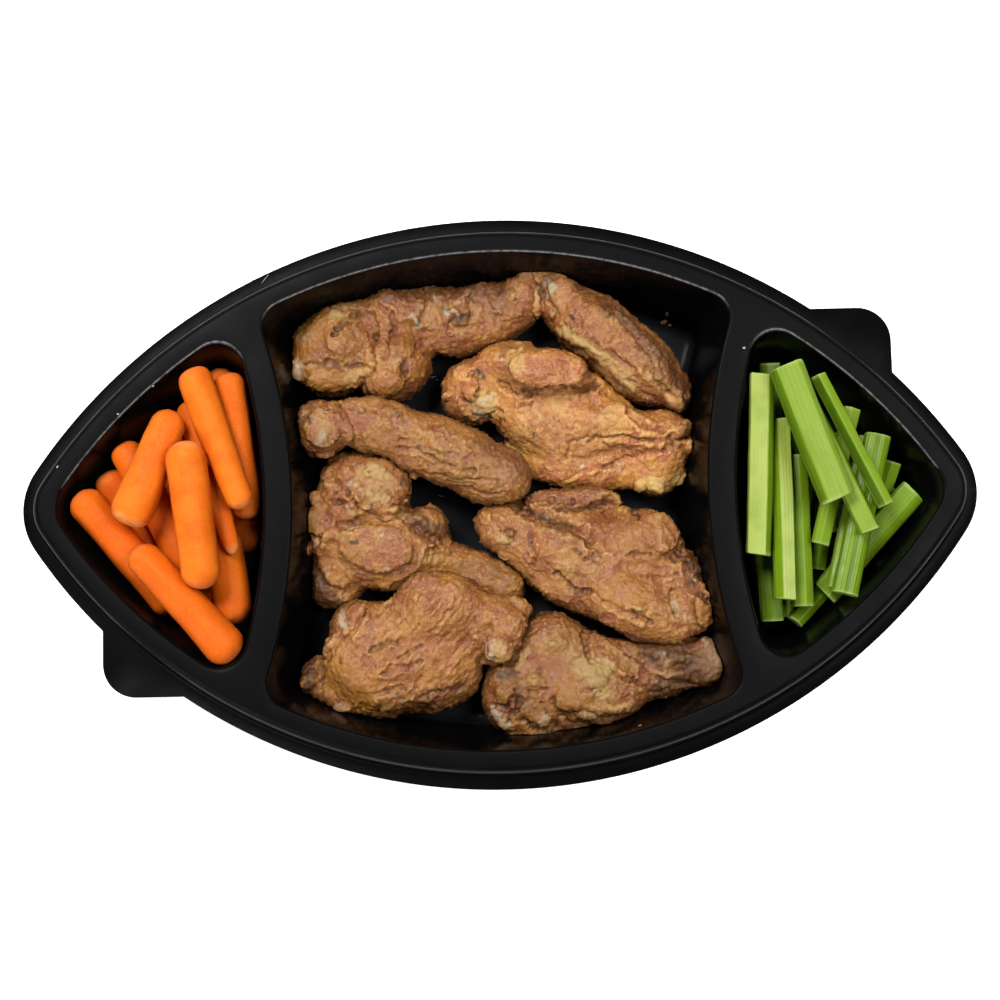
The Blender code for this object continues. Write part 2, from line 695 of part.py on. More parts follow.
# Celery sticks: ends in plan, heights of the two ends, width and thickness
CELERY = [
    ("celery_hidden_1", (93, 36), (104, -30), (5, 5), 9, 5.5),
    ("celery_hidden_2", (112, 34), (124, -14), (5, 5), 9, 5.5),
    ("celery_hidden_3", (130, 22), (114, -34), (5, 12), 9, 5.5),
    ("celery_hidden_4", (138, 8), (104, -36), (12, 6), 8, 5),
    ("celery_deep_top", (97, 51.5), (99, 6.5), (24, 20), 8, 5),
    ("celery_deep_right", (145.5, 10.5), (137, -24), (31, 27), 6.5, 5),
    ("celery_deep_low", (128, -28), (108.5, -50), (25, 24), 6, 4.5),
    ("celery_low_right", (147, 0), (119, -39.5), (32, 33), 10, 5),
    ("celery_low_left", (95, 2.5), (97.5, -45), (23, 22), 8.4, 5),
    ("celery_slim_left", (111.5, 6), (105, -44), (22, 21), 5.5, 4.5),
    ("celery_slim_middle", (123, 18.5), (114.5, -26.5), (24, 20), 6, 4.6),
    ("celery_mid_cross", (127, 30), (117, -19), (34, 32), 6.5, 4.8),
    ("celery_mid_right", (132, 20.5), (119, -34.5), (31, 34), 6.5, 5),
    ("celery_ribbed", (137.5, 20), (125.5, -37.5), (38, 42), 9.6, 5.4),
    ("celery_top_slant", (108, 36), (128.5, -15), (42, 44), 7.8, 5.4),
    ("celery_top_thin", (112.5, 40.5), (134, -6), (44, 46), 5.7, 4.8),
    ("celery_straight", (107.5, 14.5), (108, -40), (28, 29), 7.6, 5.2),
    ("celery_top_middle", (99.5, 27), (100, -37.5), (35, 35), 7.8, 5.4),
    ("celery_top_left", (92.5, 42.5), (89, -21.5), (37, 37), 9, 5.6),
    ("celery_top_wide", (101.5, 44), (118, -3.5), (47, 48), 12.6, 6),
]


def build_all():
    clear_scene()
    plastic = plain_material("black_plastic", BLACK_PLASTIC, 0.3)
    skin = plain_material("fried_skin", FRIED_SKIN, 0.45)
    orange = plain_material("carrot_orange", CARROT_ORANGE, 0.4)
    green = plain_material("celery_green", CELERY_GREEN, 0.4)
    build_tray(plastic)
    earlier = []
    for name, (at, turn, lobes) in WINGS.items():
        build_wing(name, middle_pocket(), earlier, at, turn, lobes, skin)
    carrots = [make_stick(start, end, heights, head, tail, 0.9, EASE[name.split("_")[1]])
               for name, start, end, heights, head, tail in CARROTS]
    settle_pile(side_pocket(-1), carrots, 1.0)
    for (name, *_), stick in zip(CARROTS, carrots):
        build_carrot(name, stick, orange)
    celery = []
    for name, start, end, heights, width, thick in CELERY:
        reach = math.hypot(0.5 * width, 0.32 * thick * CELERY_FLAT)
        celery.append(make_stick(start, end, heights, reach, reach, 0.3, EASE[name.split("_")[1]]))
    settle_pile(side_pocket(1), celery, CELERY_FLAT)
    for (name, _, _, _, width, thick), stick in zip(CELERY, celery):
        build_celery(name, stick, width, thick, green)


build_all()
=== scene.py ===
"""Looks of the party tray: black plastic, browned wings, baby carrots and celery sticks."""
import itertools
import math
import random

import bmesh
import bpy
import numpy as np
from mathutils import Matrix, Vector
from mathutils.bvhtree import BVHTree


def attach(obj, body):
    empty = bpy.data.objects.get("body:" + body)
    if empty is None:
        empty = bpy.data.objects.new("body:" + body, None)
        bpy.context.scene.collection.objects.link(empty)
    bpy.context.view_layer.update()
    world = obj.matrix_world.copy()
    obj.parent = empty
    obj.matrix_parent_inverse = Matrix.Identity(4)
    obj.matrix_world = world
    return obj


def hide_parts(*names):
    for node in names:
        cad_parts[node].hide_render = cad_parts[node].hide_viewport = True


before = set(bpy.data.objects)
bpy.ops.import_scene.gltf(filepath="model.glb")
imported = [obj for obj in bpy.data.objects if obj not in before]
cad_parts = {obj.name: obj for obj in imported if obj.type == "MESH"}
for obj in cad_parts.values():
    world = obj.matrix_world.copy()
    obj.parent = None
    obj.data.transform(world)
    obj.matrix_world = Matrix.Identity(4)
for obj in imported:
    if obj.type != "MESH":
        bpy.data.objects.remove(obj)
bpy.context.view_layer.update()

MM = 0.001

# Camera: seen from above, a little towards the near rim, the tray turned slightly in the frame
CAMERA_HEIGHT = 600 * MM
CAMERA_BACK = 55 * MM
LAND_HEIGHT = 43.0 * MM
VIEW_WIDTH = 350.6 * MM
TRAY_TURN = math.radians(1.3)
AIM = Vector((0.0, -0.7 * MM, LAND_HEIGHT))
SENSOR = 36.0
FRAME_PIXELS = 1000
PIXEL = VIEW_WIDTH / FRAME_PIXELS

# Studio: disk lights as name, place, size, power and colour, a weak even sky and a pale floor
LIGHTS = (("key", (-0.38, 0.50, 1.05), 0.45, 13.5, (1.0, 0.985, 0.96)),
          ("fill", (0.55, 0.05, 1.05), 0.6, 8.0, (1.0, 1.0, 1.0)),
          ("front", (-0.62, -0.7, 0.75), 0.45, 5.5, (1.0, 1.0, 1.0)))
LIGHTS_AIM = Vector((0, 0, 0.02))
SKY_STRENGTH = 0.06
FLOOR_HALF = 14.0
FLOOR_GLOW = 0.75

# Tray, the same sizes as its solid
SHEET = 0.9 * MM
ARC_OFFSET = 98.5 * MM
FLANGE_RADIUS = 200.6 * MM
LAND_RADIUS = 193.8 * MM
POCKET_RADIUS = 187.4 * MM
SHOULDER_HEIGHT = 11.0 * MM
FLANGE_TIP_ROUND = 25.0 * MM
LAND_TIP_ROUND = 16.0 * MM
DIVIDER_CENTRE = 273.9 * MM
DIVIDER_INNER_RADIUS = 199.7 * MM
DIVIDER_OUTER_RADIUS = 192.0 * MM
MIDDLE_CORNER = 9.0 * MM
SIDE_CORNER = 10.0 * MM
TIP_CORNER = 12.0 * MM
WALL_DRAFT = 7.4 * MM
FLOOR_ROUND = 5.0 * MM
FLOOR_CORNER_SHARE = 0.75
MIDDLE_CORNER_X = 75.0 * MM
MIDDLE_CORNER_Y = 70.0 * MM
SIDE_CORNER_X = 92.0 * MM
SIDE_CORNER_Y = 62.0 * MM
POCKET_TIP_X = 150.0 * MM
LAND_TIP_X = 165.0 * MM
QUARTERS = ((1, -1), (1, 1), (-1, 1), (-1, -1))
TAB_X = 142.0 * MM
TAB_Y = 67.0 * MM
TAB_ROUND = 12.0 * MM
POCKET_EDGE = 1.3 * MM
SHOULDER_EDGE = 2.8 * MM
SHOULDER_FOOT = 1.6 * MM
LIP = 0.25 * MM


def rgb(red, green, blue):
    """An sRGB colour of 0 to 255 as the linear colour that shaders take."""
    channels = []
    for value in (red, green, blue):
        share = value / 255
        channels.append(share / 12.92 if share <= 0.04045 else ((share + 0.055) / 1.055) ** 2.4)
    return (*channels, 1.0)


# Shader building

class Shader:
    """One Principled material and short names for the nodes that feed it."""

    def __init__(self, name):
        self.material = bpy.data.materials.new(name)
        self.material.use_nodes = True
        self.tree = self.material.node_tree
        self.base = self.tree.nodes["Principled BSDF"]
        self.coords = self.tree.nodes.new("ShaderNodeTexCoord").outputs["Object"]

    def put(self, socket, value):
        """Links another node's output to the socket, or writes a constant on it."""
        if isinstance(value, bpy.types.NodeSocket):
            self.tree.links.new(value, socket)
        elif value is not None:
            socket.default_value = value

    def set(self, **values):
        """Links or constants for sockets of the Principled node, named with _ for a space."""
        for name, value in values.items():
            self.put(self.base.inputs[name.replace("_", " ")], value)

    def noise(self, size, detail=3.0, rough=0.55, warp=0.0):
        """Cloudy noise whose features are about size metres."""
        node = self.tree.nodes.new("ShaderNodeTexNoise")
        self.put(node.inputs["Vector"], self.coords)
        node.inputs["Scale"].default_value = 1.0 / size
        node.inputs["Detail"].default_value = detail
        node.inputs["Roughness"].default_value = rough
        node.inputs["Distortion"].default_value = warp
        return node.outputs["Fac"]

    def cells(self, size):
        """Distance to the nearest of scattered spots, in cells of about size metres."""
        node = self.tree.nodes.new("ShaderNodeTexVoronoi")
        self.put(node.inputs["Vector"], self.coords)
        node.inputs["Scale"].default_value = 1.0 / size
        return node.outputs["Distance"]

    def attribute(self, name):
        node = self.tree.nodes.new("ShaderNodeAttribute")
        node.attribute_name = name
        return node.outputs["Fac"]

    def ramp(self, value, low, high, start=0.0, end=1.0):
        """The value eased from start at low to end at high."""
        node = self.tree.nodes.new("ShaderNodeMapRange")
        node.interpolation_type = "SMOOTHSTEP"
        self.put(node.inputs["Value"], value)
        node.inputs["From Min"].default_value = low
        node.inputs["From Max"].default_value = high
        node.inputs["To Min"].default_value = start
        node.inputs["To Max"].default_value = end
        return node.outputs["Result"]

    def maths(self, operation, first, second):
        node = self.tree.nodes.new("ShaderNodeMath")
        node.operation = operation
        self.put(node.inputs[0], first)
        self.put(node.inputs[1], second)
        return node.outputs[0]

    def mix(self, share, first, second, blend="MIX"):
        node = self.tree.nodes.new("ShaderNodeMix")
        node.data_type = "RGBA"
        node.blend_type = blend
        sockets = {socket.identifier: socket for socket in node.inputs}
        self.put(sockets["Factor_Float"], share)
        self.put(sockets["A_Color"], first)
        self.put(sockets["B_Color"], second)
        return next(socket for socket in node.outputs if socket.identifier == "Result_Color")

    def bump(self, height, depth, strength, normal=None):
        node = self.tree.nodes.new("ShaderNodeBump")
        self.put(node.inputs["Height"], height)
        node.inputs["Distance"].default_value = depth
        node.inputs["Strength"].default_value = strength
        self.put(node.inputs["Normal"], normal)
        return node.outputs["Normal"]


# Camera, lights and floor

def camera_frame():
    """The camera's place, its directions ahead, right and up, and how far off its aim is."""
    place = Vector((0, -CAMERA_BACK, LAND_HEIGHT + CAMERA_HEIGHT))
    ahead = AIM - place
    far = ahead.length
    ahead.normalize()
    right = ahead.cross(Vector((math.sin(TRAY_TURN), math.cos(TRAY_TURN), 0))).normalized()
    return place, ahead, right, right.cross(ahead), far


def add_camera():
    place, ahead, right, up, far = camera_frame()
    data = bpy.data.cameras.new("camera")
    data.sensor_width = SENSOR
    data.lens = SENSOR * far / VIEW_WIDTH
    data.clip_start = 0.01
    camera = bpy.data.objects.new("camera", data)
    turn = Matrix((right, up, -ahead)).transposed()
    camera.matrix_world = Matrix.Translation(place) @ turn.to_4x4()
    bpy.context.scene.collection.objects.link(camera)
    bpy.context.scene.camera = camera


def add_area_light(name, place, size, power, colour):
    data = bpy.data.lights.new(name, "AREA")
    data.shape = "DISK"
    data.size = size
    data.energy = power
    data.color = colour
    light = bpy.data.objects.new(name, data)
    light.location = place
    away = LIGHTS_AIM - Vector(place)
    light.rotation_euler = away.to_track_quat("-Z", "Y").to_euler()
    bpy.context.scene.collection.objects.link(light)


def add_studio():
    world = bpy.data.worlds.new("studio")
    world.use_nodes = True
    background = world.node_tree.nodes["Background"]
    background.inputs["Color"].default_value = (1, 1, 1, 1)
    background.inputs["Strength"].default_value = SKY_STRENGTH
    bpy.context.scene.world = world
    bpy.context.scene.view_settings.view_transform = "Standard"
    for light in LIGHTS:
        add_area_light(*light)
    mesh = bpy.data.meshes.new("floor")
    corners = [(x * FLOOR_HALF, y * FLOOR_HALF, 0) for x, y in ((-1, -1), (1, -1), (1, 1), (-1, 1))]
    mesh.from_pydata(corners, [], [(0, 1, 2, 3)])
    shader = Shader("pale_floor")
    tone = shader.noise(0.2, detail=2)
    shader.set(Base_Color=shader.mix(tone, rgb(252, 252, 252), rgb(255, 255, 255)), Roughness=0.9)
    shader.set(Emission_Color=rgb(255, 255, 255), Emission_Strength=FLOOR_GLOW)
    mesh.materials.append(shader.material)
    floor = bpy.data.objects.new("floor", mesh)
    bpy.context.scene.collection.objects.link(floor)


# Meshes and numbers

def mesh_object(name, mesh):
    obj = bpy.data.objects.new(name, mesh)
    bpy.context.scene.collection.objects.link(obj)
    return obj


def add_piece(name, mesh, material, slot, *replaced):
    """One visible piece on the body, standing in for the nodes that it replaces."""
    mesh.materials.clear()
    mesh.materials.append(material)
    mesh.shade_smooth()
    obj = mesh_object(name, mesh)
    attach(obj, "root")
    if replaced:
        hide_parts(*replaced)


def mesh_from(bm, name):
    mesh = bpy.data.meshes.new(name)
    bm.to_mesh(mesh)
    bm.free()
    return mesh


def baked(obj):
    """The object's mesh with its modifiers applied; the object itself goes."""
    bpy.context.view_layer.update()
    depsgraph = bpy.context.evaluated_depsgraph_get()
    mesh = bpy.data.meshes.new_from_object(obj.evaluated_get(depsgraph), depsgraph=depsgraph)
    bpy.data.objects.remove(obj, do_unlink=True)
    return mesh


def read_vectors(data, field, count):
    values = np.empty(count * 3, dtype=np.float32)
    data.foreach_get(field, values)
    return values.reshape(-1, 3).astype(float)


def mesh_points(mesh):
    return read_vectors(mesh.vertices, "co", len(mesh.vertices))


def mesh_normals(mesh):
    return read_vectors(mesh.vertex_normals, "vector", len(mesh.vertices))


def move_points(mesh, points):
    mesh.vertices.foreach_set("co", points.astype(np.float32).ravel())
    mesh.update()


def write_attribute(mesh, name, values):
    layer = mesh.attributes.new(name, "FLOAT", "POINT")
    layer.data.foreach_set("value", np.asarray(values, dtype=np.float32))


def smooth_step(values, low, high):
    """0 at low and 1 at high, eased between them."""
    share = np.clip((values - low) / (high - low), 0, 1)
    return share * share * (3 - 2 * share)


CLOUD_SHIFT = 17.3
RIDGE_SHIFT = 31.7
FINER = 2.03


class Clouds:
    """Seeded noise for whole arrays of points."""

    def __init__(self, seed):
        shuffled = np.random.default_rng(seed)
        self.table = shuffled.permutation(256)
        self.values = shuffled.uniform(-1, 1, 256)
        self.spots = shuffled.uniform(0, 1, (256, 3))

    def mark(self, x, y, z):
        """A number of 0 to 255 for each cell of a grid."""
        return self.table[(self.table[(self.table[x & 255] + y) & 255] + z) & 255]

    def single(self, points):
        """One layer of soft noise with cells of one unit."""
        cell = np.floor(points).astype(int)
        part = points - cell
        part = part ** 3 * (part * (part * 6 - 15) + 10)
        total = 0
        for dx, dy, dz in itertools.product((0, 1), repeat=3):
            weight = np.abs(1 - dx - part[:, 0]) * np.abs(1 - dy - part[:, 1]) * np.abs(1 - dz - part[:, 2])
            marks = self.mark(cell[:, 0] + dx, cell[:, 1] + dy, cell[:, 2] + dz)
            total = total + weight * self.values[marks]
        return total

    def cloud(self, points, size, octaves=3, rough=0.5):
        """Soft noise of about -1 to 1 whose largest features are size across."""
        total, weight, scale = 0, 1.0, 1.0
        for _ in range(octaves):
            total = total + weight * self.single(points * (scale / size) + CLOUD_SHIFT * scale)
            weight *= rough
            scale *= FINER
        return total * 1.3

    def ridges(self, points, size, octaves=3, rough=0.5):
        """Sharp crests: 1 on a crest, towards 0 and below between them."""
        total, weight, scale, whole = 0, 1.0, 1.0, 0
        for _ in range(octaves):
            layer = self.single(points * (scale / size) + RIDGE_SHIFT * scale)
            total = total + weight * (1 - 2.6 * np.abs(layer))
            whole += weight
            weight *= rough
            scale *= FINER
        return total / whole

    def nearest(self, points, size):
        """Distance to the nearest of one scattered spot a cell, in cells."""
        scaled = points / size
        cell = np.floor(scaled).astype(int)
        best = np.full(len(points), 9.0)
        for step in itertools.product((-1, 0, 1), repeat=3):
            near = cell + step
            spot = near + self.spots[self.mark(near[:, 0], near[:, 1], near[:, 2])]
            best = np.minimum(best, ((scaled - spot) ** 2).sum(axis=1))
        return np.sqrt(best)


# Tray

def side(x, y, radius, steps, inside=True):
    """One bounding circle of a region, which lies inside it or outside it."""
    return {"x": x, "y": y, "radius": radius, "bow": 1 if inside else -1, "steps": steps}


def corner(x, y, radius, steps=14):
    """One rounded corner, found by a point near it."""
    return {"near": Vector((x, y)), "radius": radius, "steps": steps}


def circles_meet(first, first_radius, second, second_radius, near):
    """The one of two circles' two meeting points that is nearer to a given point."""
    apart = second - first
    gap = apart.length
    along = (first_radius ** 2 - second_radius ** 2 + gap ** 2) / (2 * gap)
    off = math.sqrt(max(first_radius ** 2 - along ** 2, 0))
    base = first + apart * (along / gap)
    cross = Vector((-apart.y, apart.x)) * (off / gap)
    return min((base + cross, base - cross), key=lambda point: (point - near).length)


def touch_point(circle, centre, inset):
    """Where a corner's arc about the centre runs into the side's circle moved in by inset."""
    middle = Vector((circle["x"], circle["y"]))
    return middle + (centre - middle).normalized() * (circle["radius"] - circle["bow"] * inset)


def arc_points(centre, start, end, steps, turn_left=False):
    """Points from start to end about a centre, without the last one."""
    first = math.atan2(start.y - centre.y, start.x - centre.x)
    sweep = math.atan2(end.y - centre.y, end.x - centre.x) - first
    sweep = (sweep + math.pi) % (2 * math.pi) - math.pi
    if turn_left:
        sweep = sweep % (2 * math.pi)
    radius = (start - centre).length
    angles = [first + sweep * i / steps for i in range(steps)]
    return [centre + radius * Vector((math.cos(angle), math.sin(angle))) for angle in angles]


def region_outline(sides, corners, inset=0.0, share=1.0, grow=0.0):
    """Outline moved in by inset. Corner radii keep a share of their size and then grow."""
    count = len(sides)
    turns = []
    for i, turn in enumerate(corners):
        one, two = sides[i], sides[(i + 1) % count]
        radius = turn["radius"] * share + grow
        centre = circles_meet(Vector((one["x"], one["y"])), one["radius"] - one["bow"] * (inset + radius),
                              Vector((two["x"], two["y"])), two["radius"] - two["bow"] * (inset + radius),
                              turn["near"])
        turns.append((centre, touch_point(one, centre, inset), touch_point(two, centre, inset)))
    points = []
    for i, (centre, start, end) in enumerate(turns):
        points += arc_points(centre, start, end, corners[i]["steps"], turn_left=True)
        following = sides[(i + 1) % count]
        target = turns[(i + 1) % count][1]
        middle = Vector((following["x"], following["y"]))
        points += arc_points(middle, end, target, following["steps"])
    return points


def middle_pocket():
    sides = [side(0, ARC_OFFSET, POCKET_RADIUS, 70),
             side(DIVIDER_CENTRE, 0, DIVIDER_INNER_RADIUS, 48, inside=False),
             side(0, -ARC_OFFSET, POCKET_RADIUS, 70),
             side(-DIVIDER_CENTRE, 0, DIVIDER_INNER_RADIUS, 48, inside=False)]
    corners = [corner(x * MIDDLE_CORNER_X, y * MIDDLE_CORNER_Y, MIDDLE_CORNER) for x, y in QUARTERS]
    return sides, corners


def side_pocket(hand):
    """The left pocket has hand -1 and the right one +1."""
    lower = side(0, ARC_OFFSET, POCKET_RADIUS, 40)
    upper = side(0, -ARC_OFFSET, POCKET_RADIUS, 40)
    divider = side(hand * DIVIDER_CENTRE, 0, DIVIDER_OUTER_RADIUS, 44)
    first, second = (lower, upper) if hand > 0 else (upper, lower)
    corners = [corner(hand * POCKET_TIP_X, 0, TIP_CORNER),
               corner(hand * SIDE_CORNER_X, hand * SIDE_CORNER_Y, SIDE_CORNER),
               corner(hand * SIDE_CORNER_X, -hand * SIDE_CORNER_Y, SIDE_CORNER)]
    return [first, second, divider], corners


def land_region(radius, tip_round):
    """The eye shape of two arcs with rounded tips."""
    sides = [side(0, ARC_OFFSET, radius, 150), side(0, -ARC_OFFSET, radius, 150)]
    corners = [corner(hand * LAND_TIP_X, 0, tip_round, 22) for hand in (1, -1)]
    return sides, corners


def flange_outline(inset=0.0):
    """The eye shape with a rounded tab at the upper right, and its half turn."""
    sides, corners = land_region(FLANGE_RADIUS - inset, FLANGE_TIP_ROUND - inset)
    eye = region_outline(sides, corners)
    centre = Vector((0, -ARC_OFFSET))
    radius, tab_x, tab_y = FLANGE_RADIUS - inset, TAB_X - inset, TAB_Y - inset
    low = Vector((tab_x, centre.y + math.sqrt(radius ** 2 - tab_x ** 2)))
    high = Vector((math.sqrt(radius ** 2 - (tab_y - centre.y) ** 2), tab_y))
    turn = Vector((TAB_X - TAB_ROUND, TAB_Y - TAB_ROUND))
    tab_radius = TAB_ROUND - inset
    tab = [low] + arc_points(turn, turn + Vector((tab_radius, 0)), turn + Vector((0, tab_radius)), 16)
    tab += [turn + Vector((0, tab_radius)), high]
    clear = 1.2 * MM
    upper = [point for point in eye if point.y > 0 or (abs(point.y) < 1e-6 and point.x > 0)]
    upper.sort(key=lambda point: math.atan2(point.y, point.x))
    before = [point for point in upper if point.x > tab_x + clear]
    after = [point for point in upper if point.x < high.x - clear]
    outline = before + tab + after
    return outline + [-point for point in outline]


def rounded_edge(radius, last, steps):
    """(inset, drop) round an edge of a level face, down to an angle in degrees."""
    angles = [math.radians(last * i / steps) for i in range(steps + 1)]
    return [(radius * math.sin(angle), radius * (1 - math.cos(angle))) for angle in angles]


def pocket_profile():
    """(inset, height) from the land's edge over the wall to the floor."""
    points = [(inset, LAND_HEIGHT - drop) for inset, drop in rounded_edge(POCKET_EDGE, 80, 5)]
    points.append((0.5 * (points[-1][0] + WALL_DRAFT), 0.5 * LAND_HEIGHT + 3 * MM))
    for i in range(7):
        angle = math.radians(10 + 80 * i / 6)
        points.append((WALL_DRAFT + FLOOR_ROUND * 0.95 * (1 - math.cos(angle)),
                       SHEET + FLOOR_ROUND * 1.05 * (1 - math.sin(angle))))
    return points


def shoulder_profile():
    """(inset, height) from the land over its outer edge to the flange; outward is negative."""
    flange = LAND_HEIGHT - SHOULDER_HEIGHT
    crown = [(SHOULDER_EDGE - inset - 0.3 * MM, LAND_HEIGHT - drop)
             for inset, drop in rounded_edge(SHOULDER_EDGE, 78, 7)]
    foot = []
    for angle in (15, 40, 65, 90):
        turn = math.radians(angle)
        foot.append((-1.3 * MM - SHOULDER_FOOT * (1 - math.cos(turn)),
                     flange + SHOULDER_FOOT * (1 - math.sin(turn))))
    return crown + foot


def mitred(profile, lead, tail, turn):
    """A profile of (inset, height) moved by the sheet's thickness into the material."""
    steps = [Vector(b) - Vector(a) for a, b in zip(profile, profile[1:])]
    steps = [Vector(lead)] + steps + [Vector(tail)]
    moved = []
    for point, before, after in zip(profile, steps, steps[1:]):
        first = Vector((before.y, -before.x)).normalized() * turn
        second = Vector((after.y, -after.x)).normalized() * turn
        shift = (first + second) * (SHEET / (1 + first.dot(second)))
        moved.append((point[0] + shift.x, point[1] + shift.y))
    return moved


def add_loop(bm, points, height):
    return [bm.verts.new((point.x, point.y, height)) for point in points]


def add_band(bm, upper, lower):
    """Faces between two closed loops of as many points."""
    for i in range(len(upper)):
        j = (i + 1) % len(upper)
        bm.faces.new((upper[i], upper[j], lower[j], lower[i]))


def fill_between(bm, *loops):
    """Triangles that fill a loop, less the loops inside it."""
    edges = []
    for loop in loops:
        for a, b in zip(loop, loop[1:] + loop[:1]):
            edges.append(bm.edges.get((a, b)) or bm.edges.new((a, b)))
    bmesh.ops.triangle_fill(bm, edges=edges, use_beauty=True, normal=(0, 0, 1))


def build_pocket_skin(bm, sides, corners, profile, over):
    """Bands from the land down to one closed floor; returns the loop in the land."""
    loops = []
    for (inset, height), (over_inset, over_height) in zip(profile, over):
        depth = min(max((LAND_HEIGHT - over_height) / (LAND_HEIGHT - SHEET), 0), 1)
        share = 1 - (1 - FLOOR_CORNER_SHARE) * depth - 0.3 * max(0.0, (depth - 0.88) / 0.12)
        loops.append(add_loop(bm, region_outline(sides, corners, inset, share, over_inset - inset), height))
    for upper, lower in zip(loops, loops[1:]):
        add_band(bm, upper, lower)
    fill_between(bm, loops[-1])
    return loops[0]


def tray_mesh():
    """The whole sheet: its upper skin, its underside one thickness in, and the rim between them."""
    bm = bmesh.new()
    pockets = [middle_pocket(), side_pocket(-1), side_pocket(1)]
    flange = LAND_HEIGHT - SHOULDER_HEIGHT
    pocket_over = pocket_profile()
    shoulder_over = shoulder_profile()
    pocket_under = mitred(pocket_over, (1, 0), (1, 0), 1)
    shoulder_under = mitred(shoulder_over, (-1, 0), (-1, 0), -1)
    rims = []
    for pocket, shoulder, drop in ((pocket_over, shoulder_over, 0), (pocket_under, shoulder_under, SHEET)):
        land_loops = [build_pocket_skin(bm, *outline, pocket, pocket_over) for outline in pockets]
        sides, corners = land_region(LAND_RADIUS, LAND_TIP_ROUND)
        loops = [add_loop(bm, region_outline(sides, corners, inset, 1.0, -inset), height)
                 for inset, height in shoulder]
        for upper, lower in zip(loops, loops[1:]):
            add_band(bm, upper, lower)
        fill_between(bm, loops[0], *land_loops)
        lip = add_loop(bm, flange_outline(LIP), flange - drop)
        fill_between(bm, lip, loops[-1])
        rims.append(lip)
    edge = add_loop(bm, flange_outline(), flange - LIP)
    low_edge = add_loop(bm, flange_outline(), flange - SHEET + LIP)
    add_band(bm, rims[0], edge)
    add_band(bm, edge, low_edge)
    add_band(bm, low_edge, rims[1])
    bmesh.ops.recalc_face_normals(bm, faces=bm.faces)
    return mesh_from(bm, "tray_shell")


# Points of the frame along the lower left shoulder where a painted sheen lies, one after another
SHEEN_PATH = (85, 579, 108, 605, 128, 626, 162, 648, 200, 665)


def mark_inside_and_highlights(mesh):
    """Marks what lies inside the pockets, a painted highlight along their upper edges that face the front,
    and a painted sheen on a stretch of the lower left shoulder.
    """
    points, normals = mesh_points(mesh), mesh_normals(mesh)
    gaps = [LAND_RADIUS - np.hypot(points[:, 0], points[:, 1] + shift)
            for shift in (-ARC_OFFSET, ARC_OFFSET)]
    inside = np.minimum(*gaps) > 4 * MM
    write_attribute(mesh, "inside", inside.astype(float))
    drop = LAND_HEIGHT - points[:, 2]
    # Painted highlight: a thin light line on the rounded upper edges of the pockets' far sides, which face
    # the front lamp.
    level = smooth_step(drop, 0.01 * MM, 0.12 * MM) * smooth_step(-drop, -0.5 * MM, -0.25 * MM)
    toward = smooth_step(-normals[:, 1], 0.1, 0.45) * smooth_step(normals[:, 2], 0.02, 0.1)
    write_attribute(mesh, "edge_highlight", level * toward * inside * (points[:, 1] > 8 * MM))
    # Painted sheen: a pale stretch on the rounded outer edge of the land at the lower left, where a lamp's
    # sheen falls.
    gap, hand = along_path(in_frame(points), SHEEN_PATH)
    outer = smooth_step(-np.minimum(*gaps), -2.5 * MM, 0.5 * MM) * (points[:, 2] > LAND_HEIGHT - 5 * MM)
    write_attribute(mesh, "bloom_and_sheen", outer * smooth_step(-gap, -7.0, -1.0) * (hand < 1))


def black_plastic():
    """Thermoformed sheet: satin on the land and flange, glossier down in the pockets. Painted highlights
    line the pockets' front-facing upper edges and the lower left shoulder, and a painted reflection lightens
    the pocket floors.
    """
    shader = Shader("black_plastic")
    height = shader.tree.nodes.new("ShaderNodeSeparateXYZ")
    shader.put(height.inputs[0], shader.coords)
    level = height.outputs["Z"]
    on_top = shader.ramp(level, LAND_HEIGHT - 1.6 * MM, LAND_HEIGHT - 0.3 * MM)
    satin = shader.maths("MAXIMUM", on_top, shader.maths("SUBTRACT", 1.0, shader.attribute("inside")))
    grain = shader.noise(0.5 * MM, detail=4, rough=0.7)
    cloud = shader.noise(14 * MM, detail=3)
    dull = shader.maths("ADD", 0.42, shader.maths("MULTIPLY", shader.ramp(cloud, 0.35, 0.65), 0.07))
    glossy = shader.maths("ADD", shader.ramp(level, 1.2 * MM, 2.2 * MM, 0.30, 0.10),
                          shader.maths("MULTIPLY", shader.ramp(cloud, 0.3, 0.7), 0.05))
    rough = shader.maths("ADD", shader.maths("MULTIPLY", dull, satin),
                         shader.maths("MULTIPLY", glossy, shader.maths("SUBTRACT", 1.0, satin)))
    sheet = shader.mix(shader.ramp(grain, 0.4, 0.7), rgb(5, 5, 6), rgb(10, 10, 11))
    # Painted reflection: the pocket floors a little lighter and bluer than the rest of the sheet.
    tone = shader.mix(shader.ramp(level, 4 * MM, 1.5 * MM), sheet, rgb(24, 25, 29))
    # Painted highlight: a light grey line on those edges, broken up by noise.
    highlight_breakup = shader.ramp(shader.noise(2.5 * MM, detail=4, rough=0.7), 0.35, 0.6, 0.25, 0.9)
    # Painted sheen on that stretch of shoulder, pale grey and speckled by the grain.
    dust_and_sheen = shader.maths("MULTIPLY", shader.attribute("bloom_and_sheen"), shader.ramp(grain, 0.35, 0.65))
    bloom_and_sheen = shader.mix(dust_and_sheen, tone, rgb(96, 98, 102))
    edge_highlight = shader.mix(shader.maths("MULTIPLY", shader.attribute("edge_highlight"), highlight_breakup), bloom_and_sheen, rgb(138, 138, 140))
    pit = shader.bump(grain, 0.05 * MM, 0.5)
    shader.set(Base_Color=edge_highlight, Roughness=rough, Normal=pit, IOR=1.45, Specular_IOR_Level=0.07)
    return shader.material


# Wings

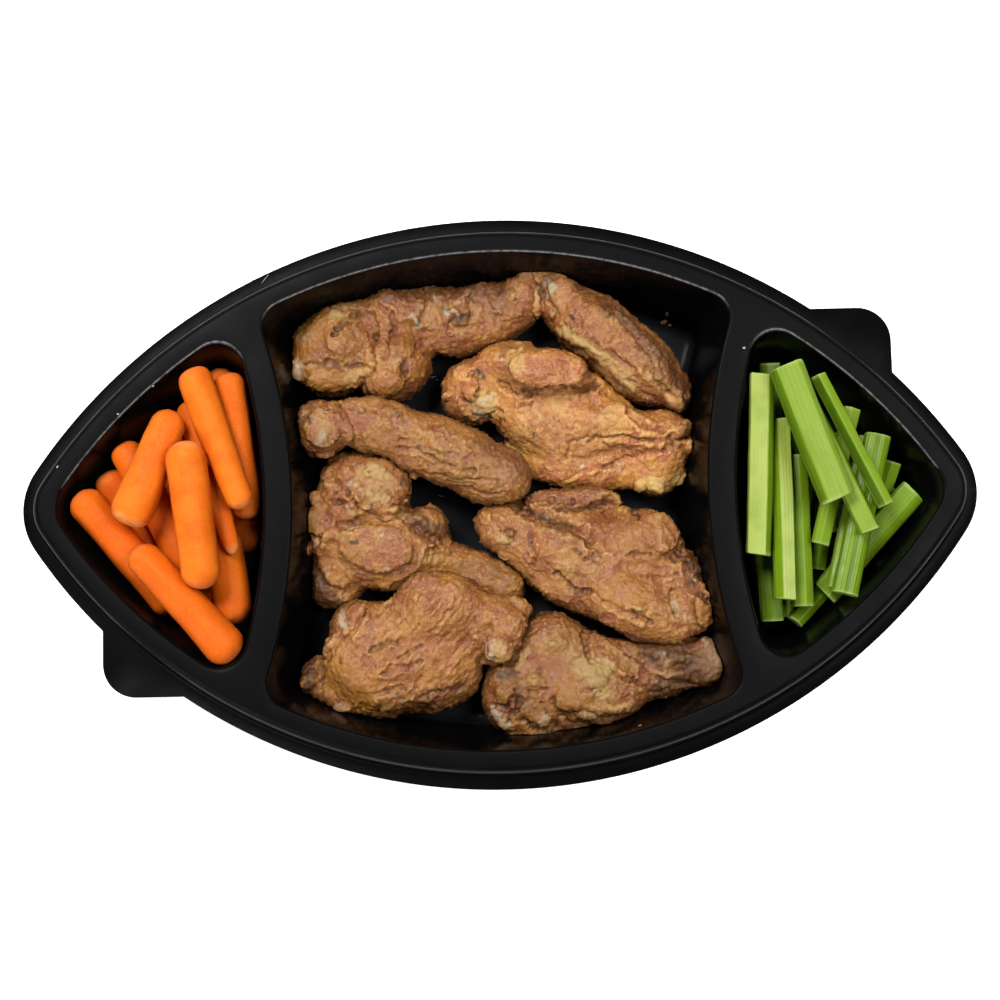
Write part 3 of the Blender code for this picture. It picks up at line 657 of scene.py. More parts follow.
# Mesh size of the skins, how far they stand out from their solids, and the radius of a dark dot in mm
VOXEL = 0.53 * MM
PLUMPING = 0.5 * MM
SPECK = 0.42
GOOSE_LUMP = (1.3, 1.1, 0.9, 0, -0.1)
GOOSE_PATCH = (1.2, 0.65)
PATCHES = ("pale", "white", "brown", "pink", "gold", "black")

# Strokes against their table, and how far noise moves strokes and patches, in points of the frame
STROKE_WIDTH = 1.35
STROKE_DEPTH = 0.95
STROKE_WANDER = 2.2
PATCH_WANDER = 3.5

# Lumps with a half length or width from BROAD mm up are melted in first, with more rounds of smoothing
BROAD = 4.0
BROAD_ROUNDS = 45
SMALL_ROUNDS = 4

# Clearance of the skins from the pocket's walls and floor
POCKET_GAP = 0.25 * MM
FLOOR_GAP = 0.05 * MM


def pixel_ray(px, py):
    """Start and direction of the sight line through a point of the frame."""
    place, ahead, right, up, far = camera_frame()
    half = FRAME_PIXELS / 2
    sight = ahead * (far / PIXEL) + right * (px - half) + up * (half - py)
    return place, sight.normalized()


def in_frame(points):
    """Frame coordinates of an array of points."""
    place, ahead, right, up, far = (np.array(part) for part in camera_frame())
    away = points - place
    scale = far / PIXEL / (away @ ahead)
    half = FRAME_PIXELS / 2
    return np.stack((half + scale * (away @ right), half - scale * (away @ up)), axis=1)


def facing_up(points, normals):
    """How much each point of a skin looks towards the sky and the eye, 0 to 1."""
    toward = np.array(camera_frame()[0]) - points
    toward /= np.linalg.norm(toward, axis=1)[:, None]
    return smooth_step((normals * toward).sum(axis=1), 0.05, 0.45)


def paired(numbers):
    """Points from numbers that stand one after another."""
    return list(zip(numbers[::2], numbers[1::2]))


def along_path(pixels, numbers):
    """Distance in millimetres to a path drawn in the frame, and the side: 1 right of it, -1 left."""
    best = np.full(len(pixels), 1e9)
    hand = np.zeros(len(pixels))
    path = [np.array(point, dtype=float) for point in paired(numbers)]
    if len(path) == 1:
        path = path * 2
    for start, end in zip(path, path[1:]):
        run = end - start
        share = np.clip(((pixels - start) @ run) / max(run @ run, 1e-9), 0, 1)
        away = pixels - start - share[:, None] * run
        gap = np.sqrt((away ** 2).sum(axis=1))
        nearer = gap < best
        best = np.where(nearer, gap, best)
        hand = np.where(nearer, np.sign(run[0] * away[:, 1] - run[1] * away[:, 0]), hand)
    return best * PIXEL / MM, hand


def beside(tree, start, sight, reach):
    """Where a lump past the outline sits: at the skin's nearest point to the sight line, reaching out."""
    best = None
    for step in range(24):
        spot = start + sight * (CAMERA_HEIGHT - 6 * MM + step * 2 * MM)
        hit, normal, _, gap = tree.find_nearest(spot)
        if best is None or gap < best[0]:
            best = gap, spot, hit, normal
    gap, spot, hit, normal = best
    return hit + (spot - hit) * min(1.0, reach / max(gap, 1e-6)), normal


def laid_on(tree, px, py, turn, lift, size, reach):
    """The matrix that lays a ball of some size on a skin, where a point of the frame shows it."""
    start, sight = pixel_ray(px, py)
    hit, normal, _, _ = tree.ray_cast(start, sight)
    if hit is None:
        hit, normal = beside(tree, start, sight, reach * MM)
    spin = Matrix.Rotation(math.radians(turn), 4, "Z")
    tilt = Vector((0, 0, 1)).rotation_difference(normal).to_matrix().to_4x4()
    scale = Matrix.Diagonal([length * MM for length in size] + [1])
    return Matrix.Translation(hit + normal * lift * MM) @ tilt @ spin @ scale


def add_easing(obj, rounds):
    """Smooths the object's mesh a number of times."""
    ease = obj.modifiers.new("ease", "SMOOTH")
    ease.factor = 0.5
    ease.iterations = rounds


def fused(mesh, name, lumps, rounds):
    """The mesh with ellipsoid lumps laid on its skin and melted in."""
    bm = bmesh.new()
    bm.from_mesh(mesh)
    tree = BVHTree.FromBMesh(bm)
    for px, py, *size, turn, lift in lumps:
        place = laid_on(tree, px, py, turn, lift, size, size[2])
        bmesh.ops.create_icosphere(bm, subdivisions=3, radius=1, matrix=place)
    draft = mesh_object(name + "_form", mesh_from(bm, name + "_form"))
    melt = draft.modifiers.new("melt", "REMESH")
    melt.mode = "VOXEL"
    melt.voxel_size = VOXEL
    add_easing(draft, rounds)
    return baked(draft)


def base_skin(name, look):
    """The solid's form, rounded, with its lumps fused in: the broad ones soft, the small ones crisp."""
    bm = bmesh.new()
    bm.from_mesh(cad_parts[name].data)
    bmesh.ops.remove_doubles(bm, verts=bm.verts, dist=0.01 * MM)
    draft = mesh_object(name + "_form", mesh_from(bm, name + "_form"))
    rounded = draft.modifiers.new("round", "SUBSURF")
    rounded.levels = 2
    form = baked(draft)
    move_points(form, mesh_points(form) + mesh_normals(form) * PLUMPING)
    lumps = look["lumps"] + tuple((*place, *GOOSE_LUMP) for place in paired(look.get("goose_bumps", ())))
    broad = [lump for lump in lumps if lump[2] >= BROAD or lump[3] >= BROAD]
    small = [lump for lump in lumps if lump not in broad]
    form = fused(form, name, broad, BROAD_ROUNDS)
    return fused(form, name, small, SMALL_ROUNDS)


def smoothed_points(mesh, rounds):
    """Where the mesh's points go when it is smoothed; the mesh stays as it is."""
    draft = mesh_object("draft", mesh.copy())
    add_easing(draft, rounds)
    return mesh_points(baked(draft))


def carve(points, normals, look, clouds):
    """Creases and ridges drawn on the side that shows, as lengths along the normal."""
    push = np.zeros(len(points))
    facing = facing_up(points, normals)
    wander = np.stack([clouds.cloud(points + shift, 4 * MM, 3) for shift in (0.0, 0.7)], axis=1)
    pixels = in_frame(points) + wander * STROKE_WANDER
    for kind in ("creases", "ridges"):
        for width, depth, *path in look.get(kind, ()):
            width, depth = width * STROKE_WIDTH, depth * STROKE_DEPTH
            gap, _ = along_path(pixels, path)
            form = np.exp(-(gap / width) ** 2)
            if kind == "creases":
                form = 0.30 * np.exp(-((gap - 2.0 * width) / width) ** 2) - form
            push += facing * depth * form
    return push * MM


def painted(points, normals, look, clouds):
    """Soft-edged patches of colour: one value a point for each kind of patch, and painted shade added to the
    brown on steep sides.
    """
    kinds = {kind: np.zeros(len(points)) for kind in PATCHES}
    facing = facing_up(points, normals)
    wander = np.stack([clouds.cloud(points + shift, 3 * MM, 3, 0.6) for shift in (0.2, 0.9)], axis=1)
    pixels = in_frame(points) + wander * PATCH_WANDER
    patches = [(kind, *patch) for kind in PATCHES for patch in look.get(kind, ())]
    patches += [("pale", *GOOSE_PATCH, *place) for place in paired(look.get("goose_bumps", ()))]
    for kind, radius, strength, *path in patches:
        gap, _ = along_path(pixels, path)
        cover = facing * strength * smooth_step(-gap, -radius * 1.4, -radius * 0.5)
        kinds[kind] = np.maximum(kinds[kind], cover)
    # Painted shade: browner on the steep and downward-facing sides, where the light falls off.
    kinds["brown"] = np.maximum(kinds["brown"], 0.75 * smooth_step(-normals[:, 2], -0.78, -0.05))
    for place in paired(look["specks"]):
        gap, _ = along_path(pixels, place)
        kinds["black"] = np.maximum(kinds["black"], facing * 0.8 * smooth_step(-gap, -SPECK * 2, -SPECK))
    return kinds


def skin_relief(points, normals, look, clouds):
    """Lumps, crags, wrinkles along the grain and goose bumps, as lengths along the normal."""
    turn = math.radians(look["grain"] + math.degrees(TRAY_TURN))
    along = np.array((math.cos(turn), math.sin(turn), 0))
    across = np.array((-math.sin(turn), math.cos(turn), 0))
    grained = np.stack((points @ along / 3.4, points @ across, points[:, 2]), axis=1)
    lumps = clouds.cloud(points, 10 * MM, 2, 0.5) * 0.65 + clouds.cloud(points + 5, 3.4 * MM, 3, 0.5) * 0.26
    crags = clouds.ridges(points, 4.2 * MM, 4, 0.6)
    patchy = smooth_step(clouds.cloud(points + 3, 11 * MM, 2), -0.35, 0.45)
    wrinkles = clouds.ridges(grained, 2.1 * MM, 3, 0.5)
    dots = np.clip(1 - clouds.nearest(points, 2.0 * MM) / 0.62, 0, 1) ** 1.5
    fine = clouds.cloud(points, 1.2 * MM, 2, 0.7)
    steep = smooth_step(-normals[:, 2], -0.62, 0.0)
    frayed = 0.50 * clouds.ridges(points + 2, 3.0 * MM, 3, 0.6) + 0.22 * clouds.cloud(points, 1.6 * MM, 2)
    return (look.get("swell", 1.0) * lumps + look["crag"] * patchy * crags
            + look["wrinkle"] * (1 - 0.5 * patchy) * wrinkles
            + look["bumps"] * dots * (1 - 0.6 * patchy) + 0.22 * fine + steep * frayed) * MM


def held_in_pocket(points):
    """Points moved clear of the middle pocket's walls, rounded corners and floor."""
    heights, insets = np.array(sorted((height, inset) for inset, height in pocket_profile())).T
    inset = np.interp(points[:, 2], heights, insets) + POCKET_GAP
    depth = np.clip((LAND_HEIGHT - points[:, 2]) / (LAND_HEIGHT - SHEET), 0, 1)
    turn = MIDDLE_CORNER * (1 - (1 - FLOOR_CORNER_SHARE) * depth)
    flat = points[:, :2].copy()

    def kept(centre, reach, outside, also=True):
        """Points brought back to the circle that they are outside or inside of."""
        away = flat - centre
        gap = np.hypot(away[:, 0], away[:, 1])
        moved = (gap > reach if outside else gap < reach) & also
        return np.where(moved[:, None], centre + away * (reach / gap)[:, None], flat)

    for hand in (-1, 1):
        flat = kept((0, hand * ARC_OFFSET), POCKET_RADIUS - inset, True)
        flat = kept((hand * DIVIDER_CENTRE, 0), DIVIDER_INNER_RADIUS + inset, False)
    for hand, end in QUARTERS:
        first, second = np.array((0, -end * ARC_OFFSET)), np.array((hand * DIVIDER_CENTRE, 0))
        first_reach = POCKET_RADIUS - inset - turn
        second_reach = DIVIDER_INNER_RADIUS + inset + turn
        span = np.linalg.norm(second - first)
        ahead = (second - first) / span
        along = (first_reach ** 2 - second_reach ** 2 + span ** 2) / (2 * span)
        off = np.sqrt(first_reach ** 2 - along ** 2)
        cross = np.array((-ahead[1], ahead[0]))
        choices = [first + along[:, None] * ahead + sign * off[:, None] * cross for sign in (-1, 1)]
        target = np.array((hand * MIDDLE_CORNER_X, end * MIDDLE_CORNER_Y))
        centre = min(choices, key=lambda choice: np.linalg.norm(choice - target, axis=1).mean())
        beyond = np.linalg.norm(flat - first, axis=1) > first_reach
        beyond &= np.linalg.norm(flat - second, axis=1) < second_reach
        flat = kept(centre, turn, True, beyond)
    low = (points[:, 2] < LAND_HEIGHT)[:, None]
    height = np.maximum(points[:, 2:], SHEET + FLOOR_GAP)
    return np.concatenate((np.where(low, flat, points[:, :2]), height), axis=1)


def wing_skin():
    """Browned chicken skin: gold to pinkish tan, with pale fat and pepper; painted shade darkens its folds
    and a painted highlight lightens its rises.
    """
    shader = Shader("browned_skin")
    relief = shader.attribute("relief")
    broad = shader.noise(13 * MM, detail=4, rough=0.6, warp=0.4)
    blotch = shader.noise(3.2 * MM, detail=6, rough=0.7, warp=0.5)
    speckle = shader.noise(0.55 * MM, detail=4, rough=0.75)
    uneven = shader.maths("MULTIPLY", shader.maths("SUBTRACT", blotch, 0.5), 1.1)

    def patch(kind):
        return shader.ramp(shader.maths("ADD", shader.attribute(kind), uneven), 0.12, 1.05)

    warm = shader.mix(shader.ramp(broad, 0.40, 0.60), rgb(152, 84, 46), rgb(182, 122, 54))
    flush = shader.noise(6 * MM, detail=4, rough=0.65, warp=0.6)
    rosy = shader.mix(shader.ramp(flush, 0.50, 0.66, 0.0, 0.6), warm, rgb(178, 98, 66))
    tint = shader.mix(shader.ramp(blotch, 0.48, 0.68, 0.0, 0.65), rosy, rgb(204, 154, 84))
    shade = shader.mix(shader.ramp(blotch, 0.44, 0.28, 0.0, 0.5), tint, rgb(136, 70, 40))
    mottled = shader.mix(shader.ramp(speckle, 0.51, 0.68, 0.0, 0.60), shade, rgb(130, 58, 34))
    grains = shader.mix(shader.ramp(speckle, 0.48, 0.34, 0.0, 0.6), mottled, rgb(226, 184, 114))
    # Painted highlight: lighter gold on the rises that the relief finds.
    painted_ridge_highlight = shader.mix(shader.ramp(relief, 0.52, 0.90, 0.0, 0.75), grains, rgb(218, 170, 102))
    gold = shader.mix(patch("gold"), painted_ridge_highlight, shader.mix(blotch, rgb(194, 138, 46), rgb(160, 100, 30)))
    pink = shader.mix(patch("pink"), gold, shader.mix(blotch, rgb(180, 108, 70), rgb(140, 76, 44)))
    # Brown patches: browned skin, and painted shade on shadowed sides and steep faces.
    brown = shader.mix(patch("brown"), pink, shader.mix(blotch, rgb(66, 37, 18), rgb(112, 70, 34)))
    pale = shader.mix(patch("pale"), brown, shader.mix(blotch, rgb(214, 186, 116), rgb(184, 142, 80)))
    white = shader.mix(patch("white"), pale, shader.mix(blotch, rgb(212, 196, 166), rgb(172, 152, 126)))
    # Painted shade: darker brown down in the hollows and creases.
    painted_hollow_shade = shader.mix(shader.ramp(relief, 0.40, 0.05, 0.0, 0.8), white, rgb(84, 44, 20))
    pepper = shader.ramp(shader.cells(3.4 * MM), 0.085, 0.05)
    pepper = shader.maths("MULTIPLY", pepper, shader.ramp(broad, 0.45, 0.6))
    peppered = shader.mix(pepper, painted_hollow_shade, rgb(44, 22, 12))
    # Black patches: dark specks, and painted shade in holes and crevices.
    dark = shader.mix(shader.attribute("black"), peppered, rgb(24, 11, 6))
    oil = shader.noise(4 * MM, detail=5, rough=0.65, warp=0.8)
    rough = shader.maths("ADD", shader.ramp(oil, 0.40, 0.60, 0.20, 0.50),
                         shader.maths("MULTIPLY", speckle, 0.08))
    pores = shader.bump(speckle, 0.22 * MM, 0.9)
    creased = shader.bump(shader.noise(1.4 * MM, detail=4, rough=0.6, warp=0.5), 0.26 * MM, 0.5, pores)
    # Painted light: the whole wing lit more or less brightly by its tone.
    level = shader.mix(shader.attribute("tone"), rgb(176, 172, 168), rgb(255, 252, 248))
    lit_colour = shader.mix(1.0, dark, level, "MULTIPLY")
    shader.set(Base_Color=lit_colour, Roughness=rough, Normal=creased, Specular_IOR_Level=0.5)
    shader.set(Subsurface_Weight=0.08, Subsurface_Radius=(1.0, 0.45, 0.2), Subsurface_Scale=1.0 * MM)
    return shader.material


def build_wing(name, look, material, seed):
    """One wing's skin: its form, what is carved in it, its relief and its patches of colour."""
    clouds = Clouds(seed)
    mesh = base_skin(name, look)
    points, normals = mesh_points(mesh), mesh_normals(mesh)
    points = points + normals * carve(points, normals, look, clouds)[:, None]
    move_points(mesh, points)
    normals = mesh_normals(mesh)
    relief = skin_relief(points, normals, look, clouds)
    points = held_in_pocket(points + normals * relief[:, None])
    move_points(mesh, points)
    # The relief drives painted shade in the hollows and a painted highlight on the rises.
    near = ((smoothed_points(mesh, 6) - points) * normals).sum(axis=1)
    wide = ((smoothed_points(mesh, 40) - points) * normals).sum(axis=1)
    hollow = near / (0.24 * MM) + wide / (0.9 * MM)
    write_attribute(mesh, "relief", 0.5 - 0.22 * np.clip(hollow, -2.2, 2.2))
    # Painted light: one tone for the whole wing, how brightly it is lit.
    write_attribute(mesh, "tone", np.full(len(points), look.get("tone", 0.52)))
    for kind, cover in painted(points, normals, look, clouds).items():
        write_attribute(mesh, kind, cover)
    add_piece(name + "_skin", mesh, material, "fried_skin", name)


# Carrots and celery: each follows its solid's axis, length and girth

def stick_axes(name):
    """(start, end, across, up, points) of a stick's solid; start is its end away from the camera."""
    points = mesh_points(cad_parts[name].data)
    middle = points.mean(axis=0)
    _, _, rows = np.linalg.svd(points - middle, full_matrices=False)
    along = rows[0]
    reach = (points - middle) @ along
    start, end = middle + along * reach.min(), middle + along * reach.max()
    if start[1] < end[1]:
        start, end, along = end, start, -along
    across = np.cross((0, 0, 1), along)
    across /= np.linalg.norm(across)
    return start, end, across, np.cross(along, across), points


def ring_mesh(rings, name):
    """Rings of points, the first and last closed to their middles."""
    count, around = len(rings), len(rings[0])
    points = np.concatenate([*rings, [rings[0].mean(axis=0)], [rings[-1].mean(axis=0)]])
    faces = []
    for i in range(count - 1):
        for j in range(around):
            k = (j + 1) % around
            faces.append((i * around + j, (i + 1) * around + j, (i + 1) * around + k, i * around + k))
    first, last = count * around, count * around + 1
    for j in range(around):
        k = (j + 1) % around
        faces.append((first, j, k))
        faces.append((last, (count - 1) * around + k, (count - 1) * around + j))
    mesh = bpy.data.meshes.new(name)
    mesh.from_pydata([tuple(point) for point in points], [], faces)
    bm = bmesh.new()
    bm.from_mesh(mesh)
    bmesh.ops.recalc_face_normals(bm, faces=bm.faces)
    bm.to_mesh(mesh)
    bm.free()
    return mesh


# The slim carrot's tail runs to a point over this many times the length of a blunt end
SLIM_POINT = 3.2

# How pale the head and the tail of some carrots are; the others get a little by chance
PALE_TIPS = {"carrot_top_left": (0.2, 1.0), "carrot_top_middle": (0.8, 0.3), "carrot_top_right": (0.3, 0.8),
             "carrot_mid_slim": (0.2, 1.3), "carrot_mid_right": (0.2, 0.7)}


def build_carrot(name, material, seed):
    """A peeled baby carrot: blunt domed ends, faint rings and peeling flats."""
    start, end, across, up, points = stick_axes(name)
    length = np.linalg.norm(end - start)
    along = (end - start) / length
    reach = (points - start) @ along
    off = np.linalg.norm(points - start - reach[:, None] * along, axis=1)
    head = off[reach < 0.45 * length].max()
    tail = off[reach > 0.55 * length].max()
    clouds = Clouds(seed)
    dice = random.Random(seed)
    blunt = (dice.uniform(2.0, 2.5), dice.uniform(2.0, 2.5))
    point = SLIM_POINT if name == "carrot_mid_slim" else 1.0
    bow = dice.uniform(-0.35, 0.35) * MM
    steps, around = 52, 44
    angles = np.arange(around) * 2 * math.pi / around
    rings = []
    for i in range(steps + 1):
        share = 0.5 - 0.5 * math.cos(math.pi * i / steps)
        share = min(max(share, 0.0004), 0.9996)
        radius = head + (tail - head) * share
        dome_a = min(share * length / (0.9 * head), 1.0)
        dome_b = min((1 - share) * length / (0.9 * point * tail), 1.0)
        for dome, power in ((dome_a, blunt[0]), (dome_b, blunt[1])):
            radius *= (1 - (1 - dome) ** power) ** (1 / power)
        middle = start + along * share * length + across * bow * math.sin(math.pi * share)
        ring = middle + radius * (np.cos(angles)[:, None] * across + np.sin(angles)[:, None] * up)
        rings.append(ring)
    mesh = ring_mesh(rings, name + "_peeled")
    points, normals = mesh_points(mesh), mesh_normals(mesh)
    reach = (points - start) @ along
    lengthwise = np.stack((reach * 0.12, (points - start) @ across, (points - start) @ up), axis=1)
    crosswise = np.stack((reach, ((points - start) @ across) * 0.15, ((points - start) @ up) * 0.15), axis=1)
    relief = 0.20 * clouds.cloud(points, 13 * MM, 2) + 0.10 * clouds.cloud(lengthwise, 2.6 * MM, 2)
    relief += 0.05 * clouds.cloud(crosswise, 1.4 * MM, 2) + 0.03 * clouds.cloud(points, 1.0 * MM, 2)
    move_points(mesh, points + normals * (relief * MM)[:, None])
    ends = np.minimum(reach, length - reach)
    head_pale, tail_pale = PALE_TIPS.get(name, (dice.uniform(0.1, 0.4), dice.uniform(0.1, 0.4)))
    ragged = ends + 0.8 * MM * clouds.cloud(points, 2.2 * MM, 3)
    write_attribute(mesh, "tip", smooth_step(-ragged, -3.4 * MM, -0.4 * MM)
                    * np.where(reach < length / 2, head_pale, tail_pale))
    # Painted shade: redder and darker on steep sides and low down in the pocket.
    write_attribute(mesh, "side", smooth_step(-mesh_normals(mesh)[:, 2], -0.80, -0.05)
                    + 0.5 * smooth_step(-points[:, 2], -34 * MM, -18 * MM))
    # Painted light: the top carrots lighter; the others a random tone.
    write_attribute(mesh, "tone", np.full(len(points), 1.0 if "_top_" in name else dice.uniform(0, 0.6)))
    write_attribute(mesh, "grain", clouds.cloud(lengthwise, 1.8 * MM, 3))
    add_piece(name + "_peeled", mesh, material, "carrot", name)


def carrot_flesh():
    """Orange flesh with a dry bloom and paler tips, lighter on the top carrots as painted light, and redder
    and darker on its steep sides and low in the pocket as painted shade.
    """
    shader = Shader("carrot_flesh")
    broad = shader.noise(11 * MM, detail=2)
    fine = shader.noise(0.6 * MM, detail=4, rough=0.65)
    tone = shader.attribute("tone")
    flesh = shader.mix(tone, rgb(216, 94, 8), rgb(230, 114, 20))
    cloudy = shader.mix(shader.ramp(broad, 0.35, 0.7, 0.0, 0.6), flesh, rgb(210, 80, 6))
    # Painted shade on the steep sides and low down.
    painted_side_shade = shader.mix(shader.ramp(shader.attribute("side"), 0.0, 1.3, 0.0, 0.6), cloudy, rgb(172, 56, 2))
    streaks = shader.ramp(shader.attribute("grain"), 0.1, 1.2, 0.0, 0.25)
    grain = shader.mix(streaks, painted_side_shade, rgb(228, 118, 30))
    bloom_and_sheen = shader.mix(shader.ramp(fine, 0.50, 0.68, 0.0, 0.5), grain, rgb(234, 132, 48))
    tipped = shader.mix(shader.maths("MULTIPLY", shader.attribute("tip"), 0.6), bloom_and_sheen, rgb(238, 158, 92))
    rough = shader.ramp(shader.noise(5 * MM, detail=3), 0.3, 0.7, 0.50, 0.64)
    skin = shader.bump(fine, 0.08 * MM, 0.6)
    shader.set(Base_Color=tipped, Roughness=rough, Normal=skin, Specular_IOR_Level=0.15)
    shader.set(Subsurface_Weight=0.06, Subsurface_Radius=(1.0, 0.35, 0.08), Subsurface_Scale=1.6 * MM)
    return shader.material


# Long edges of each stalk: place across it from -1 at its left side to 1, rise, and how pale it is there
STALKS = {
    "celery_top_left": ((-0.99, 0.85, 0.85), (0.38, 1.0, 0.95), (0.50, 0.95, 0.40), (0.9, 0.35, 0.25)),
    "celery_top_middle": ((-0.9, 0.2, 0.35), (-0.30, 1.0, 0.40), (-0.15, 1.0, 0.90), (0.9, 0.75, 0.80)),
    "celery_top_wide": ((-0.95, 0.3, 0.15), (-0.70, 0.9, 0.25), (-0.58, 0.95, 0.62), (0.5, 1.0, 0.66),
                        (0.62, 1.0, 0.45), (0.93, 0.45, 0.30)),
    "celery_top_slant": ((-0.9, 0.8, 0.60), (0.50, 1.0, 0.62), (0.65, 0.9, 0.25), (0.9, 0.2, 0.15)),
    "celery_top_thin": ((-0.9, 0.1, 0.10), (-0.30, 0.9, 0.15), (-0.10, 1.0, 0.62), (0.85, 0.5, 0.45)),
    "celery_straight": ((-0.9, 0.6, 0.30), (0.1, 1.0, 0.48), (0.9, 0.45, 0.30)),
    "celery_mid_right": ((-0.9, 0.7, 0.55), (-0.1, 1.0, 0.50), (0.1, 1.0, 0.25), (0.9, 0.1, 0.15)),
    "celery_ribbed": ((-0.92, 0.45, 0.25), (-0.35, 0.95, 0.42), (0.0, 0.82, 0.20), (0.4, 0.95, 0.45),
                      (0.92, 0.4, 0.20)),
    "celery_low_right": ((-0.92, 0.75, 0.40), (0.3, 0.95, 0.45), (0.92, 0.3, 0.25)),
}


# Ribs of a stalk, as a share of its height
RIB_DEPTH = 0.012
DEEP_RIB_DEPTH = 0.03


def build_celery(name, material, seed):
    """A cut stalk: long edges and faint ribs on top, a hollow underneath, square cut ends."""
    start, end, across, up, points = stick_axes(name)
    length = np.linalg.norm(end - start)
    along = (end - start) / length
    sides = (points - start) @ across
    rise = (points - start) @ up
    half = (sides.max() - sides.min()) / 2
    middle = start + across * (sides.max() + sides.min()) / 2
    low, high = rise.min(), rise.max()
    clouds = Clouds(seed)
    dice = random.Random(seed)
    plain = dice.uniform(0.2, 0.5)
    usual = ((-0.9, 0.4, plain), (dice.uniform(-0.4, 0.4), 1.0, plain + 0.15), (0.9, 0.4, plain))
    edges = STALKS.get(name, usual)
    knots_x = [-1.0] + [edge[0] for edge in edges] + [1.0]
    knots_z = [-0.45] + [edge[1] for edge in edges] + [-0.45]
    spread = np.linspace(-1, 1, 41)
    profile = np.interp(spread, knots_x, knots_z)
    soft = np.convolve(np.pad(profile, 1, mode="edge"), (0.2, 0.6, 0.2), mode="valid")
    rib_depth = DEEP_RIB_DEPTH if name == "celery_ribbed" else RIB_DEPTH
    ribs = rib_depth * np.cos(spread * math.pi * dice.choice((7, 8, 9)))
    back = [(x * half, low + (high - low) * (0.5 + 0.5 * min(z + r * (1 - x * x), 1.0)))
            for x, z, r in zip(spread, soft, ribs)]
    under = [(x * half * 0.8, low + (high - low) * (0.02 + 0.2 * (1 - (x / 0.9) ** 2)))
             for x in np.linspace(0.9, -0.9, 17)]
    section = np.array(back + under)
    tilt = [dice.uniform(-0.10, 0.10) for _ in range(2)]
    bow = dice.uniform(-0.3, 0.3) * MM
    rings = []
    shares = [0.0, 0.004, 0.012] + list(np.linspace(0.03, 0.97, 40)) + [0.988, 0.996, 1.0]
    for share in shares:
        edge = min(share, 1 - share) * length
        scale = 1 - 0.05 * max(0.0, 1 - edge / (0.5 * MM)) ** 2
        lean = (tilt[0] * max(0.0, 1 - share * 5) + tilt[1] * max(0.0, share * 5 - 4)) * section[:, 0]
        centre = middle + across * bow * math.sin(math.pi * share)
        ring = centre + across * (section[:, 0] * scale)[:, None] + up * (section[:, 1] * scale)[:, None]
        ring = ring + along * (share * length + lean)[:, None]
        rings.append(ring)
    first, last = (ring.mean(axis=0) + (ring - ring.mean(axis=0)) * 0.55 for ring in (rings[0], rings[-1]))
    rings = [first, *rings, last]
    mesh = ring_mesh(rings, name + "_stalk")
    points, normals = mesh_points(mesh), mesh_normals(mesh)
    reach = np.clip((points - start) @ along, 0, length)
    aside = (points - middle) @ across
    height = (points - start) @ up
    lengthwise = np.stack((reach * 0.05, aside, height), axis=1)
    relief = 0.022 * clouds.cloud(lengthwise, 1.3 * MM, 2) + 0.12 * clouds.cloud(points, 9 * MM, 2)
    inside = smooth_step(np.minimum(reach, length - reach), 0.2 * MM, 1.2 * MM)
    move_points(mesh, points + normals * (relief * inside * MM)[:, None])
    share = aside / half
    paleness = np.interp(share, [edge[0] for edge in edges], [edge[2] for edge in edges])
    # Painted shade: darker low down in the pocket.
    paleness = paleness - 0.3 * smooth_step(-points[:, 2], -36 * MM, -16 * MM)
    ends = smooth_step(-np.minimum(reach, length - reach), -0.9 * MM, -0.1 * MM)
    write_attribute(mesh, "pale", np.where(height > (low + high) / 2, paleness, 0.75))
    write_attribute(mesh, "cut", ends)
    write_attribute(mesh, "fibre", clouds.cloud(lengthwise, 0.55 * MM, 3))
    add_piece(name + "_stalk", mesh, material, "celery", name)


def celery_flesh():
    """Green flesh, paler along its long edges and on its cut ends, darker low in the pocket as painted
    shade, with fine strings.
    """
    shader = Shader("celery_flesh")
    broad = shader.noise(11 * MM, detail=3)
    fine = shader.noise(0.6 * MM, detail=4, rough=0.6)
    fibre = shader.attribute("fibre")
    pale = shader.maths("ADD", shader.attribute("pale"), shader.maths("MULTIPLY", fibre, 0.035))
    green = shader.mix(shader.ramp(pale, 0.0, 0.5), rgb(58, 86, 6), rgb(112, 142, 18))
    sided = shader.mix(shader.ramp(pale, 0.45, 1.0), green, rgb(160, 174, 82))
    cloudy = shader.mix(shader.ramp(broad, 0.45, 0.75, 0.0, 0.35), sided, rgb(96, 128, 14))
    capped = shader.mix(shader.maths("MULTIPLY", shader.attribute("cut"), 0.7), cloudy,
                        shader.mix(fine, rgb(144, 170, 78), rgb(176, 192, 112)))
    rough = shader.ramp(shader.noise(4 * MM, detail=3), 0.3, 0.7, 0.30, 0.46)
    strings = shader.bump(fibre, 0.04 * MM, 0.3)
    moist = shader.bump(fine, 0.04 * MM, 0.5, strings)
    shader.set(Base_Color=capped, Roughness=rough, Normal=moist, Specular_IOR_Level=0.25)
    shader.set(Subsurface_Weight=0.12, Subsurface_Radius=(0.6, 1.0, 0.2), Subsurface_Scale=1.4 * MM)
    return shader.material


# Each wing's own forms and colours. Places are points of the camera's frame, the rest millimetres.
# lumps: place, half length, half width, half thickness, turn in degrees, lift off the skin
# creases and ridges: width, depth, then the points of the path one after another
# pale, white, brown, pink, gold and black patches: radius, strength, then the points of the path; some brown
# and black patches are painted shade on shadowed sides and in holes and crevices
# goose_bumps: the points of small pale bumps of one size.  specks: the points of dark dots
# tone: painted light, how brightly the whole wing is lit.  swell, crag, wrinkle, bumps: strengths.  grain:
# degrees

